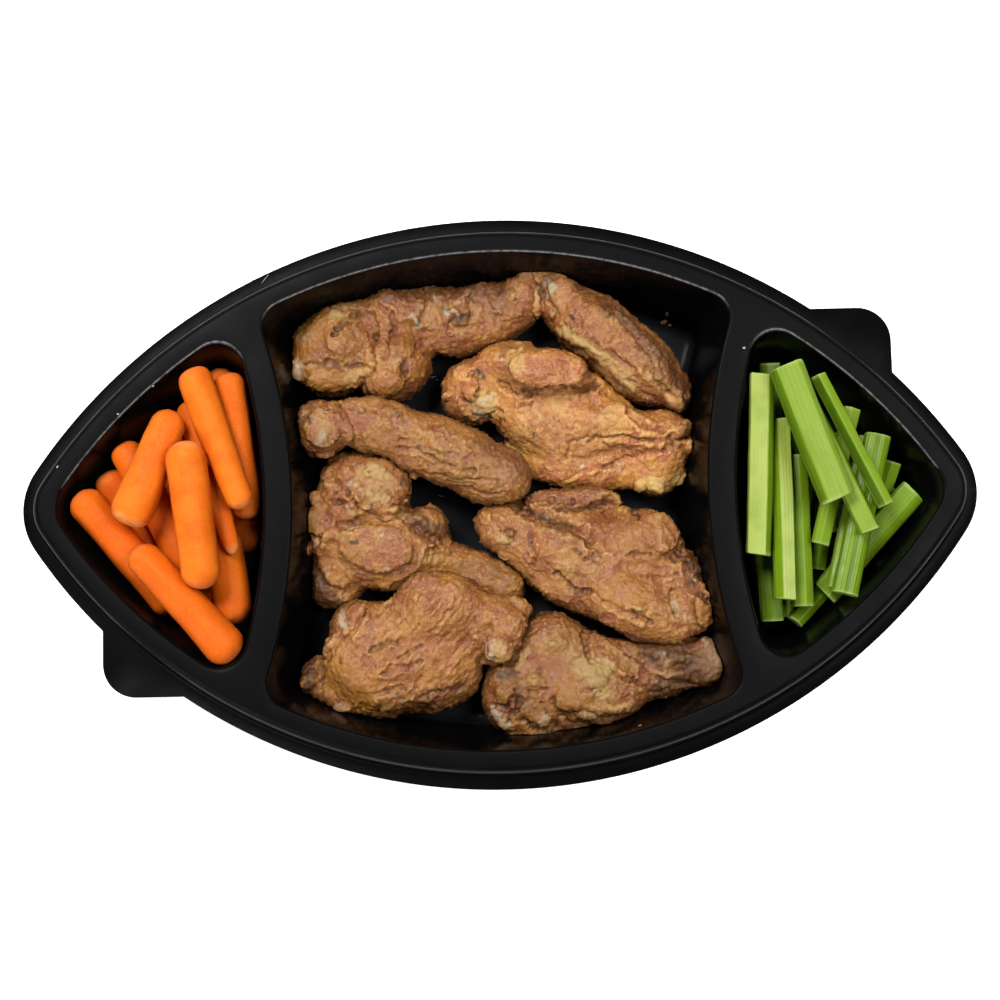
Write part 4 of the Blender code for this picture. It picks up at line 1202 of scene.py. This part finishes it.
LOOKS = {
    "wing_top_left": {
        "tone": 0.48, "grain": 10, "crag": 0.22, "wrinkle": 0.16, "bumps": 0.15,
        "lumps": (
            (404, 339, 8.5, 4, 2.2, 58, -0.4), (387, 384, 7.8, 5.6, 3, 20, -0.4),
            (336, 382, 11, 5.4, 2.6, 0, -0.6), (346, 338, 9.5, 7, 2.2, 25, -0.4),
            (384, 330, 2.4, 7.5, 1.8, -12, -0.3), (388, 294, 5, 3, 2.4, 0, 0),
            (428, 293, 6.5, 3.2, 2, 0, 0), (478, 290, 8, 3, 2.2, 20, 0),
            (460, 321, 2.7, 1.9, 1.6, 15, 0.2), (415, 320, 1.9, 1.3, 1.2, -60, 0.4),
            (453, 311, 2.2, 1.1, 1.2, -12, 0.4), (497, 312, 2.3, 1.6, 1.3, 0, 0.2),
            (434, 296, 0.9, 0.9, 0.9, 0, 0.3), (298, 370, 2.2, 4.8, 2.4, 0, 0),
            (527, 271, 4, 3.4, 3.4, 0, 0), (449, 329, 1.5, 1.5, 1.1, 0, 0.2)),
        "creases": (
            (0.75, 1.5, 336, 330, 350, 317, 362, 313, 371, 316, 375, 328, 375, 342, 373, 356, 374, 364,
             371, 371, 362, 380, 359, 390, 363, 400),
            (0.65, 1.2, 378, 304, 391, 316, 397, 328, 389, 342, 385, 358),
            (0.6, 1, 304, 366, 312, 362, 330, 363, 350, 367, 371, 370),
            (0.8, 0.8, 424, 340, 415, 352, 406, 364, 404, 372), (0.6, 0.8, 424, 292, 425, 310, 422, 322),
            (0.9, 1, 446, 298, 448, 315, 446, 330), (0.7, 0.8, 474, 288, 469, 303, 472, 315),
            (0.6, 0.6, 500, 290, 492, 302, 498, 320)),
        "ridges": (
            (0.8, 0.8, 400, 321, 412, 317, 424, 325, 440, 328, 449, 334),
            (0.7, 0.8, 452, 304, 460, 298, 467, 294)),
        "pale": (
            (6, 0.3, 340, 330, 365, 385), (3.2, 0.9, 336, 314), (2, 0.6, 345, 302, 354, 300),
            (2.4, 0.6, 350, 379, 362, 371), (2, 0.45, 326, 368), (1.6, 0.6, 457, 300, 450, 306),
            (2, 0.5, 460, 333, 466, 330)),
        "white": (
            (1, 0.6, 300, 337, 306, 337), (1.6, 0.95, 413, 318, 416, 323), (1.4, 0.9, 448, 309, 458, 313),
            (0.9, 0.9, 434, 296), (1.4, 0.5, 497, 311), (1.8, 0.7, 296, 362, 297, 378)),
        "brown": (
            (9, 0.3, 400, 325, 440, 310, 490, 300), (5, 0.45, 440, 303, 500, 298),
            (3, 0.6, 380, 296, 400, 294, 440, 290, 470, 288, 500, 286), (2, 0.5, 292, 335, 305, 330)),
        "pink": (
            (4, 0.5, 400, 330, 385, 350), (3, 0.5, 450, 315, 480, 300),
            (3, 0.5, 370, 385, 365, 395, 400, 375), (3, 0.4, 358, 330, 350, 350)),
        "gold": (
            (7, 0.45, 330, 320, 345, 370, 310, 380), (3, 0.7, 318, 322, 300, 352, 312, 345),
            (3.5, 0.6, 402, 345, 412, 330), (4, 0.6, 420, 375, 425, 360)),
        "black": (
            (1.8, 0.75, 455, 321, 464, 317), (0.9, 0.8, 448, 329)),
        "specks": (
            358, 357, 339, 362, 386, 370, 401, 374, 409, 381, 421, 355, 372, 349, 473, 299, 517, 298, 530,
            322, 307, 363)},
    "wing_top_right": {
        "grain": -42, "crag": 0.12, "wrinkle": 0.22, "bumps": 0.32,
        "lumps": (
            (545, 274, 7.5, 4.6, 4, 0, 0), (530, 300, 5, 7, 2.2, 0, -0.2),
            (575, 338, 6, 1.9, 1.6, -30, 0.1), (600, 355, 6.5, 2.7, 1.8, -42, 0.1),
            (625, 380, 6.5, 2.4, 1.5, -42, 0), (673, 402, 4, 3, 2, -40, 0),
            (659, 411, 2, 1.1, 1, -10, 0.4), (551, 288, 1.8, 4, 1.2, 8, 0)),
        "creases": (
            (0.65, 1, 563, 326, 578, 338, 594, 344, 612, 353, 624, 362, 634, 370),
            (0.6, 0.8, 630, 380, 645, 393, 660, 401), (0.65, 0.9, 640, 366, 658, 381, 674, 395, 686, 402),
            (0.65, 1.2, 529, 268, 532, 281, 540, 289, 541, 300),
            (0.8, 1.2, 544, 302, 545, 287, 547, 278, 557, 277), (0.7, 0.9, 550, 303, 557, 310, 552, 322),
            (0.8, 0.8, 600, 298, 620, 317, 638, 335, 650, 352),
            (0.7, 0.7, 612, 312, 630, 330, 645, 350, 655, 372)),
        "ridges": (
            (1, 1.1, 636, 371, 652, 383, 666, 395, 680, 409),),
        "pale": (
            (2, 0.7, 526, 275, 530, 282), (2.3, 0.9, 560, 332, 572, 336, 590, 347, 602, 356),
            (3, 0.6, 604, 362, 618, 372, 632, 386), (1.2, 0.5, 658, 411)),
        "white": (
            (1.8, 0.9, 550, 282, 552, 294), (1.2, 0.6, 536, 286, 536, 292), (0.8, 0.7, 650, 402)),
        "brown": (
            (5, 0.75, 585, 281, 612, 301, 640, 324, 670, 355, 688, 385), (2.5, 0.7, 543, 265, 556, 267),
            (3, 0.5, 640, 345, 655, 365, 665, 385)),
        "pink": (
            (3, 0.5, 570, 300, 565, 320, 548, 326), (4, 0.4, 600, 330, 625, 345)),
        "gold": (
            (4, 0.4, 600, 310, 590, 300),),
        "black": (
            (1.3, 0.9, 650, 406, 660, 405),),
        "specks": (
            589, 334, 571, 317, 582, 324, 612, 315, 553, 309, 640, 318, 628, 348)},
    "wing_centre": {
        "tone": 0.95, "swell": 0.6, "grain": -5, "crag": 0.1, "wrinkle": 0.13, "bumps": 0.2,
        "lumps": (
            (548, 369, 14.5, 7.4, 3.4, -3, -0.3), (470, 392, 3.2, 3.2, 2.2, 0, 0),
            (488, 405, 3.6, 3.9, 1.6, 0, -0.2), (692, 446, 4, 3, 2.5, 0, 0),
            (684, 428, 4, 3.2, 2.5, 30, 0), (640, 485, 2.2, 2.8, 2, 0, 0),
            (656, 486, 3.4, 2.7, 2.1, -20, 0), (681, 477, 4, 2.4, 2, 50, 0),
            (448, 395, 2, 1.5, 1.5, 0, 0), (444, 383, 1.6, 1, 1, 0, 0), (512, 450, 4.2, 1.7, 1.2, -30, 0),
            (502, 359, 1.4, 0.9, 0.8, -20, 0.3), (521, 350, 1.2, 0.8, 0.8, 0, 0.3),
            (465, 372, 5, 4, 2, 30, -0.2), (525, 345, 4.5, 2.4, 1.8, 15, 0)),
        "creases": (
            (0.85, 2.2, 524, 394, 540, 394, 556, 391, 574, 390, 590, 387, 598, 383),
            (0.7, 1.1, 501, 382, 511, 393, 524, 399), (0.6, 1.1, 478, 397, 482, 388, 478, 380, 470, 378),
            (0.6, 1, 461, 398, 468, 404, 473, 413, 486, 418, 498, 411),
            (0.8, 1.5, 626, 413, 640, 423, 652, 430, 668, 431),
            (0.6, 1.4, 588, 442, 604, 438, 630, 438, 650, 441, 672, 438),
            (0.7, 1.1, 596, 478, 603, 468, 616, 460, 640, 456, 660, 451, 672, 446),
            (0.55, 0.8, 567, 458, 571, 444, 584, 437, 600, 436), (0.5, 0.6, 565, 480, 590, 470, 610, 464),
            (0.9, 1.4, 672, 440, 682, 437, 693, 433), (0.5, 0.8, 536, 399, 530, 405, 520, 405)),
        "ridges": (
            (1.1, 1.2, 596, 396, 618, 410, 632, 424, 642, 435, 660, 440),
            (1, 0.9, 584, 452, 600, 444, 625, 443, 650, 446)),
        "pale": (
            (9, 0.36, 530, 425, 570, 450, 600, 430), (3.4, 0.8, 484, 397, 493, 405),
            (3, 0.6, 514, 360, 516, 373), (3.4, 0.5, 552, 407, 562, 405), (2.4, 0.85, 505, 448, 518, 452),
            (2, 0.45, 512, 435), (3, 0.55, 615, 410, 600, 420), (2.6, 0.9, 642, 486, 656, 486, 664, 490),
            (2, 0.75, 676, 480, 684, 474)),
        "white": (
            (2, 0.6, 482, 402, 492, 398), (1, 0.9, 470, 404, 476, 412, 488, 415),
            (1, 0.8, 500, 358, 506, 361), (0.8, 0.9, 584, 464), (1.1, 0.6, 618, 468),
            (0.6, 0.8, 690, 420)),
        "brown": (
            (4, 0.55, 700, 425, 705, 455), (2, 0.5, 690, 470, 676, 440, 660, 436), (0.9, 0.8, 491, 404),
            (3, 0.6, 505, 348, 530, 342, 545, 345), (3, 0.6, 685, 428), (2, 0.5, 455, 412, 470, 420)),
        "pink": (
            (3, 0.6, 468, 390), (2.5, 0.6, 550, 348, 570, 350), (4, 0.4, 560, 440, 590, 455)),
        "gold": (
            (3, 0.5, 575, 447, 590, 442, 610, 425), (2, 0.6, 605, 480)),
        "black": (
            (1.6, 0.7, 474, 374, 481, 377), (1, 0.7, 676, 438, 690, 435)),
        "specks": (
            577, 471, 643, 453, 504, 420, 531, 426, 570, 398, 463, 408, 560, 424, 557, 420, 533, 433, 523,
            423, 657, 451, 540, 484)},
    "wing_upper_left": {
        "tone": 0.42, "grain": -20, "crag": 0.06, "wrinkle": 0.24, "bumps": 0.36,
        "lumps": (
            (322, 428, 7, 8, 2, 0, -0.3), (325, 455, 3.6, 1.9, 2, 0, 0),
            (413, 477, 1.8, 1.4, 1.2, 0, 0.1), (364, 435, 1.3, 1.3, 0.7, 0, 0),
            (404, 432, 1.3, 1.3, 0.7, 0, 0), (420, 437, 1.3, 1.2, 0.7, 0, 0),
            (452, 446, 1.4, 1.3, 0.7, 0, 0), (467, 449, 1.3, 1.2, 0.7, 0, 0),
            (436, 450, 1.3, 1.2, 0.7, 0, 0), (388, 424, 1.3, 1.2, 0.7, 0, 0),
            (429, 434, 1.2, 1, 0.6, 0, 0), (444, 458, 1.4, 1, 0.6, 0, 0)),
        "creases": (
            (0.6, 0.9, 337, 402, 343, 418, 352, 436, 350, 450),
            (0.5, 0.7, 395, 449, 415, 453, 440, 462, 460, 470, 474, 473),
            (0.5, 0.5, 400, 440, 430, 450, 460, 456, 490, 470), (0.45, 0.5, 420, 470, 460, 480, 500, 482),
            (0.45, 0.5, 430, 490, 465, 490, 500, 494), (0.5, 0.8, 305, 415, 307, 425)),
        "pale": (
            (7, 0.34, 450, 472, 505, 478), (4, 0.45, 315, 415, 325, 432), (1.1, 0.5, 364, 435),
            (1, 0.5, 404, 432), (1, 0.5, 420, 437), (1.1, 0.5, 452, 446), (1, 0.45, 467, 449),
            (1, 0.4, 436, 450), (1, 0.4, 388, 424)),
        "white": (
            (1.5, 0.6, 323, 433, 322, 440), (0.7, 0.9, 414, 456), (1, 0.4, 500, 474, 505, 477)),
        "brown": (
            (4, 0.35, 310, 420, 330, 440), (2.5, 0.6, 298, 412, 299, 430),
            (2.5, 0.5, 480, 440, 510, 455, 530, 472)),
        "pink": (
            (4, 0.55, 345, 425, 360, 420), (3, 0.5, 385, 443, 400, 447), (3.5, 0.5, 345, 415, 350, 435),
            (5, 0.45, 490, 455, 515, 465, 500, 440)),
        "gold": (
            (4, 0.45, 440, 465, 480, 482), (3, 0.4, 330, 447)),
        "black": (
            (0.6, 0.7, 306, 417, 307, 424),),
        "goose_bumps": (
            364, 436, 390, 428, 402, 428, 420, 433, 418, 447, 433, 441, 440, 448, 451, 444, 470, 452, 458,
            436),
        "specks": (
            397, 416, 428, 464, 381, 432, 325, 412, 490, 473, 372, 450, 362, 410, 310, 407)},
    "wing_mid_left": {
        "grain": -20, "crag": 0.5, "wrinkle": 0.12, "bumps": 0.15,
        "lumps": (
            (304, 548, 3.2, 3.4, 2.6, 60, 0), (316, 499, 2.6, 3, 2.4, 0, 0),
            (309, 521, 2.8, 5, 2.5, 0, 0), (327, 485, 1.5, 1.1, 1, 0, 0), (346, 474, 3.2, 3, 2, 0, 0),
            (352, 500, 5, 3.4, 1.8, 30, 0), (357, 485, 2.2, 1.6, 1.2, 0, 0.2),
            (350, 513, 5, 1.6, 1.5, 12, 0.2), (431, 522, 6.8, 5, 3, -40, -0.4),
            (385, 585, 3, 1.6, 1.5, 20, 0), (398, 579, 2.6, 1.4, 1.2, 15, 0),
            (395, 478, 8.5, 7, 2, -30, -0.5), (375, 548, 14, 9, 2.4, -15, -0.7),
            (335, 510, 3, 2.4, 1.6, 0, 0.2), (370, 472, 4, 3.4, 1.6, 0, 0),
            (406, 500, 2.4, 1.6, 1.4, 0, 0.2), (331, 535, 3.2, 2.2, 1.5, 20, 0.1)),
        "creases": (
            (0.9, 1.9, 338, 522, 352, 527, 361, 521, 371, 513, 384, 516, 398, 516),
            (1.1, 2, 398, 516, 412, 525, 424, 534, 440, 540), (0.7, 1.2, 392, 503, 402, 511, 416, 512),
            (0.6, 1.2, 345, 490, 352, 498, 358, 505, 367, 511), (0.5, 1, 330, 500, 345, 505, 350, 498),
            (0.9, 1.5, 311, 555, 318, 568, 326, 585, 342, 596), (0.6, 1, 308, 532, 320, 538, 318, 547),
            (0.45, 0.7, 428, 562, 432, 550, 442, 546), (0.45, 0.6, 440, 566, 450, 552),
            (0.6, 0.8, 384, 577, 395, 570, 410, 566), (0.5, 0.5, 385, 543, 403, 552),
            (0.6, 0.9, 330, 475, 340, 487, 334, 497)),
        "ridges": (
            (0.5, 0.7, 418, 566, 424, 548, 436, 544),),
        "pale": (
            (4, 0.5, 362, 472, 385, 480, 372, 492), (3, 0.75, 368, 470, 385, 475),
            (2.6, 0.75, 370, 490, 382, 500), (2, 0.6, 340, 535, 350, 530), (2, 0.5, 415, 556, 440, 558)),
        "white": (
            (1.4, 0.8, 354, 482, 360, 487), (1.2, 0.6, 346, 509, 352, 514), (0.9, 0.9, 381, 535),
            (0.8, 0.7, 389, 568), (0.7, 0.7, 368, 588)),
        "brown": (
            (4, 0.4, 465, 565, 505, 575), (1.2, 0.8, 342, 524, 354, 527),
            (3.6, 0.75, 405, 508, 420, 525, 436, 530), (2, 0.7, 405, 480, 415, 490),
            (4, 0.8, 316, 572, 324, 595, 340, 605), (3, 0.5, 490, 572, 505, 578),
            (3, 0.4, 345, 560, 360, 575)),
        "pink": (
            (3.5, 0.6, 345, 480, 335, 500, 350, 508), (4, 0.6, 330, 515, 345, 505, 338, 535),
            (3, 0.6, 348, 492), (1.6, 0.6, 383, 545, 402, 550)),
        "gold": (
            (2.6, 0.8, 308, 516, 311, 530), (3, 0.7, 430, 555, 450, 565, 470, 570),
            (3, 0.6, 385, 585, 395, 578)),
        "black": (
            (1.1, 0.8, 355, 545), (1, 0.9, 370, 590)),
        "specks": (
            374, 491, 378, 503, 369, 505, 366, 469, 370, 512, 420, 507, 400, 572, 352, 465, 326, 522, 318,
            536)},
    "wing_low_left": {
        "grain": 52, "crag": 0.06, "wrinkle": 0.42, "bumps": 0.22,
        "lumps": (
            (500, 653, 4.6, 4.2, 3, 0, 0), (489, 651, 2, 4.2, 3, 0, 0), (341, 620, 1.9, 2.7, 2.2, 0, 0),
            (312, 672, 3.4, 8, 2.4, -20, 0), (343, 707, 3, 1.5, 1.5, 0, 0), (516, 625, 5, 5, 2, 0, 0),
            (523, 606, 4, 3, 2, -30, 0), (330, 645, 4, 2.4, 2, 40, 0), (356, 611, 3.4, 4, 1.8, -20, 0)),
        "creases": (
            (0.6, 1, 372, 650, 388, 643, 406, 638), (0.6, 1, 384, 673, 400, 668, 420, 662),
            (0.5, 0.8, 398, 657, 410, 653, 420, 646), (1, 1.6, 487, 627, 483, 645, 482, 668),
            (0.6, 0.9, 462, 688, 440, 691, 425, 696), (0.6, 0.8, 374, 697, 390, 692, 402, 690),
            (0.7, 1, 354, 632, 364, 616, 372, 600), (0.8, 1.2, 348, 630, 340, 642, 325, 662, 320, 680),
            (0.45, 0.6, 395, 628, 410, 610, 420, 594), (0.45, 0.6, 432, 632, 448, 612, 456, 598),
            (0.45, 0.6, 410, 634, 425, 616, 436, 600), (0.45, 0.6, 380, 616, 395, 602)),
        "ridges": (
            (0.6, 0.8, 383, 706, 395, 703, 412, 700),),
        "pale": (
            (3, 0.7, 500, 650, 505, 660), (1.8, 0.35, 412, 657, 414, 660)),
        "white": (
            (2, 0.85, 341, 616, 343, 624), (1.2, 0.8, 491, 645, 491, 658),
            (1.5, 0.4, 345, 708, 336, 706)),
        "brown": (
            (4, 0.55, 385, 707, 430, 699, 467, 687), (3, 0.6, 320, 700, 338, 712),
            (3, 0.85, 308, 655, 310, 690)),
        "pink": (
            (3.5, 0.6, 355, 610, 362, 620), (1, 0.6, 487, 650), (5, 0.45, 395, 685, 430, 640, 400, 650),
            (4, 0.5, 495, 625, 510, 610)),
        "gold": (
            (9, 0.35, 400, 650, 360, 700, 430, 680), (6, 0.6, 345, 690, 380, 700),
            (5, 0.5, 330, 670, 360, 680), (7, 0.35, 420, 610, 460, 620), (3, 0.6, 500, 602, 480, 600)),
        "specks": (
            342, 659, 325, 684, 393, 689, 401, 690, 410, 689, 426, 692, 431, 696, 474, 614, 493, 622, 410,
            655, 428, 601, 364, 705, 428, 630)},
    "wing_mid_right": {
        "grain": -25, "crag": 0.2, "wrinkle": 0.28, "bumps": 0.22,
        "lumps": (
            (707, 609, 6, 7, 3, 0, -0.3), (720, 604, 2, 2.7, 2, 0, 0), (693, 564, 6, 3.5, 2.5, -40, 0),
            (695, 581, 2, 1.6, 1.4, 0, 0.2), (703, 586, 1.6, 1.5, 1.2, 0, 0.2),
            (709, 595, 1.2, 1, 1, 0, 0.2), (570, 494, 16, 2.3, 1.6, 0, 0),
            (558, 506, 12, 1.5, 1.2, -4, 0), (504, 541, 2.7, 1.6, 1.3, -10, 0),
            (510, 533, 2, 1.7, 1.3, 0, 0.1), (503, 556, 2.7, 1.8, 1.6, -30, 0),
            (640, 608, 2.7, 0.8, 0.7, -15, 0.3), (485, 518, 3.2, 3, 2, 0, 0),
            (553, 592, 8, 3.2, 2, -25, -0.2), (662, 532, 8, 7.5, 2, -40, -0.3),
            (572, 556, 12, 7, 2, -25, -0.7), (616, 512, 8, 2.6, 1.6, -15, 0)),
        "creases": (
            (1.3, 2.8, 511, 501, 528, 511, 546, 520, 566, 526, 580, 530, 590, 538),
            (0.7, 1.3, 532, 504, 550, 502, 572, 503), (0.8, 1.7, 557, 510, 575, 509, 590, 506, 612, 503),
            (0.75, 1.4, 556, 572, 561, 583, 570, 590, 582, 594, 592, 593, 604, 601, 618, 608, 634, 614,
             648, 622), (0.6, 0.9, 586, 538, 590, 546, 600, 552),
            (0.7, 1.2, 496, 519, 502, 526, 500, 532), (1, 1.7, 664, 558, 674, 554, 684, 549),
            (0.8, 1.4, 684, 565, 686, 578, 690, 588, 700, 594, 706, 598),
            (0.5, 0.8, 650, 555, 640, 553, 628, 556), (0.5, 0.6, 560, 548, 580, 556, 600, 556),
            (0.5, 0.8, 640, 575, 660, 577, 675, 574), (0.6, 1, 672, 590, 670, 605, 676, 618),
            (0.6, 0.8, 528, 535, 536, 552, 532, 566)),
        "pale": (
            (5, 0.4, 560, 545, 580, 548), (5, 0.35, 565, 565, 585, 570), (1.8, 0.8, 500, 540, 508, 542),
            (2, 0.6, 685, 618, 695, 622), (1, 0.9, 635, 607, 645, 609)),
        "white": (
            (1, 0.6, 501, 553), (1.5, 0.7, 694, 580), (0.8, 0.7, 710, 595),
            (1.2, 0.6, 670, 602, 675, 612), (0.7, 0.6, 645, 548)),
        "brown": (
            (1.7, 0.8, 530, 511, 548, 521, 572, 527), (1.2, 0.7, 560, 509, 590, 506, 610, 503),
            (2.5, 0.4, 600, 520, 630, 525), (1.6, 0.7, 509, 532), (2.6, 0.85, 690, 560, 702, 572),
            (4, 0.4, 560, 600, 600, 615), (4, 0.35, 540, 498, 600, 496)),
        "pink": (
            (2, 0.5, 502, 556), (1.6, 0.6, 720, 604), (5, 0.4, 610, 535, 640, 560)),
        "gold": (
            (1.4, 0.7, 703, 586), (5, 0.5, 700, 610, 706, 620), (5, 0.4, 640, 590, 620, 580)),
        "black": (
            (0.9, 0.6, 514, 503, 530, 511), (1.4, 0.6, 685, 562), (0.8, 0.8, 702, 594),
            (1.5, 0.8, 634, 512, 636, 517)),
        "specks": (
            593, 564, 553, 569, 597, 583, 600, 583, 586, 523, 632, 614, 612, 552)},
    "wing_low_right": {
        "tone": 0.32, "grain": -8, "crag": 0.42, "wrinkle": 0.18, "bumps": 0.15,
        "lumps": (
            (507, 693, 5.2, 4.6, 3, 0, -0.2), (500, 676, 6, 3.4, 2, 20, -0.2),
            (501, 719, 5.4, 2, 2, -50, 0), (543, 720, 3.2, 2.9, 2, 0, 0), (540, 736, 7, 3.6, 3, 5, 0),
            (523, 656, 3.5, 2, 1.6, 45, 0), (533, 682, 5, 3.4, 2, 0, -0.1),
            (557, 645, 4.2, 2.5, 1.8, 0, 0), (573, 699, 8, 4, 2.2, 10, -0.4),
            (587, 670, 8, 6, 1.8, -40, -0.5), (711, 646, 5.4, 4.2, 3, -50, 0),
            (718, 664, 3.6, 6, 3, 0, 0), (660, 654, 3, 2.4, 1.6, 0, 0), (605, 710, 11, 3, 2, 10, -0.2),
            (712, 678, 5, 4, 2.5, 20, 0), (570, 726, 6, 2.4, 2.4, 10, 0),
            (517, 735, 4, 2.6, 2.4, -30, 0)),
        "creases": (
            (0.8, 1.5, 584, 630, 586, 642, 588, 652, 593, 660),
            (0.8, 1.5, 600, 636, 618, 646, 632, 656, 646, 670, 662, 680, 690, 683),
            (0.6, 1, 610, 670, 630, 680, 650, 690, 680, 690),
            (0.9, 1.5, 640, 655, 655, 668, 672, 668, 690, 664),
            (0.7, 1.2, 514, 690, 520, 700, 514, 712, 508, 722),
            (0.8, 1.2, 522, 722, 535, 731, 552, 729, 556, 716), (0.7, 1.1, 552, 700, 556, 712, 566, 718),
            (0.6, 1.1, 494, 705, 504, 708, 512, 700), (0.5, 0.8, 580, 690, 600, 690),
            (0.8, 1.2, 560, 715, 580, 712, 600, 716, 625, 712), (0.7, 1.2, 608, 702, 628, 700),
            (0.6, 1, 530, 690, 545, 688), (0.6, 0.8, 660, 690, 690, 692, 715, 685)),
        "ridges": (
            (0.9, 1, 590, 634, 608, 644, 624, 655, 636, 666),),
        "pale": (
            (7, 0.42, 575, 655, 600, 690, 590, 720), (3.8, 0.75, 580, 665, 590, 672, 600, 682),
            (2.4, 0.9, 594, 663, 608, 668), (2, 0.9, 596, 688, 605, 695), (3, 0.5, 535, 728, 550, 730),
            (2.4, 0.55, 532, 676, 540, 684), (2.4, 0.55, 550, 642, 562, 646),
            (1.4, 0.7, 518, 662, 528, 652), (1.2, 0.5, 600, 703), (2, 0.5, 528, 704)),
        "white": (
            (1.6, 0.85, 494, 710, 506, 726), (2, 0.9, 542, 720), (1.8, 0.6, 660, 654),
            (1.2, 0.6, 664, 666), (3, 0.5, 706, 640, 716, 648, 718, 656)),
        "brown": (
            (5, 0.5, 505, 660, 520, 700), (7, 0.55, 650, 650, 690, 660, 710, 680),
            (7, 0.3, 500, 690, 540, 715), (3, 0.8, 495, 675, 510, 672),
            (5, 0.8, 655, 645, 680, 655, 700, 680, 660, 690), (4, 0.7, 620, 720, 590, 725, 570, 730),
            (3, 0.6, 700, 655, 712, 680, 725, 670), (3, 0.4, 520, 712, 530, 705)),
        "pink": (
            (3, 0.6, 535, 665, 560, 665, 545, 690), (3, 0.5, 680, 668, 690, 672)),
        "gold": (
            (4, 0.6, 560, 697, 585, 698), (3, 0.5, 596, 645, 612, 652), (4.4, 0.75, 505, 692),
            (3, 0.6, 545, 735, 525, 735)),
        "black": (
            (1.4, 0.6, 642, 650, 650, 660),),
        "specks": (
            542, 704, 633, 679, 605, 688, 541, 712, 517, 670, 582, 640)},
}

# Small scattered things: place in the frame, length, width and turn in degrees
CRUMBS = (
    (667, 314, 2.2, 0.7, 75), (664, 322, 1.6, 0.9, 30), (670, 325, 0.9, 0.6, 0), (441, 385, 0.8, 0.6, 20),
    (303, 352, 0.5, 0.4, 0), (436, 402, 0.4, 0.3, 0), (618, 500, 0.6, 0.5, 0), (532, 612, 0.5, 0.4, 30),
    (640, 726, 0.7, 0.5, 10), (480, 716, 0.5, 0.4, 0), (330, 625, 0.5, 0.4, 0), (455, 545, 0.4, 0.3, 0),
)
DUST = (
    (57.5, 467, 0.5, 0.3, 60), (118, 414, 0.4, 0.3, 0), (153, 386, 0.4, 0.3, 20), (744, 348, 0.5, 0.4, 0),
    (265, 279, 2.2, 0.10, 50), (834, 506, 0.3, 0.3, 0), (846, 550, 0.3, 0.3, 0), (855, 484, 0.3, 0.3, 0),
    (222, 276, 0.4, 0.3, 30), (246, 266, 0.4, 0.3, 30), (268, 258, 0.4, 0.3, 30),
)
# Oil drops where small glints show: glossy, and their pale grey colour is partly a painted glint.
DROPS = (
    (428, 375, 0.9, 0.25, 10), (433, 377, 1.2, 0.25, 8), (437, 380, 0.7, 0.2, 5), (481, 531, 0.9, 0.25, 60),
    (483, 536, 1.0, 0.3, 65), (485, 540, 0.6, 0.2, 60), (441, 496, 1.2, 0.25, -10), (545, 640, 0.4, 0.3, 0),
)


def add_scattered(name, spots, tray, material, slot, seed):
    """Small irregular bits lying on the tray, all in one piece."""
    dice = random.Random(seed)
    bm = bmesh.new()
    bm.from_mesh(tray)
    tree = BVHTree.FromBMesh(bm)
    bm.clear()
    for px, py, length, width, turn in spots:
        size = (length, width, min(width * 0.7, 0.4))
        place = laid_on(tree, px, py, turn, width * 0.3, size, 0.0)
        made = bmesh.ops.create_icosphere(bm, subdivisions=3, radius=1)["verts"]
        for vert in made:
            vert.co *= dice.uniform(0.86, 1.08)
        bmesh.ops.transform(bm, matrix=place, verts=made)
    add_piece(name, mesh_from(bm, name), material, slot)


def plain_shader(name, colour, other, rough):
    """A material of two colours mixed by fine noise."""
    shader = Shader(name)
    shader.set(Base_Color=shader.mix(shader.noise(0.6 * MM), colour, other), Roughness=rough)
    return shader.material


add_camera()
add_studio()
tray = tray_mesh()
mark_inside_and_highlights(tray)
crumb = plain_shader("crumb", rgb(150, 104, 46), rgb(104, 66, 30), 0.6)
dust_and_sheen = plain_shader("dust_and_sheen", rgb(190, 190, 188), rgb(150, 150, 150), 0.8)
# Pale grey oil, partly a painted glint.
oil = plain_shader("oil", rgb(120, 112, 96), rgb(170, 160, 140), 0.08)
add_scattered("crumbs", CRUMBS, tray, crumb, "fried_skin", 7)
add_scattered("dust_and_sheen", DUST, tray, dust_and_sheen, "black_plastic", 8)
add_scattered("drops", DROPS, tray, oil, "fried_skin", 9)
add_piece("tray_shell", tray, black_plastic(), "black_plastic", "tray")
skin = wing_skin()
for count, (name, look) in enumerate(LOOKS.items()):
    build_wing(name, look, skin, 40 + count)
orange = carrot_flesh()
green = celery_flesh()
for count, name in enumerate(sorted(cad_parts)):
    if name.startswith("carrot"):
        build_carrot(name, orange, 100 + count)
    elif name.startswith("celery"):
        build_celery(name, green, 200 + count)
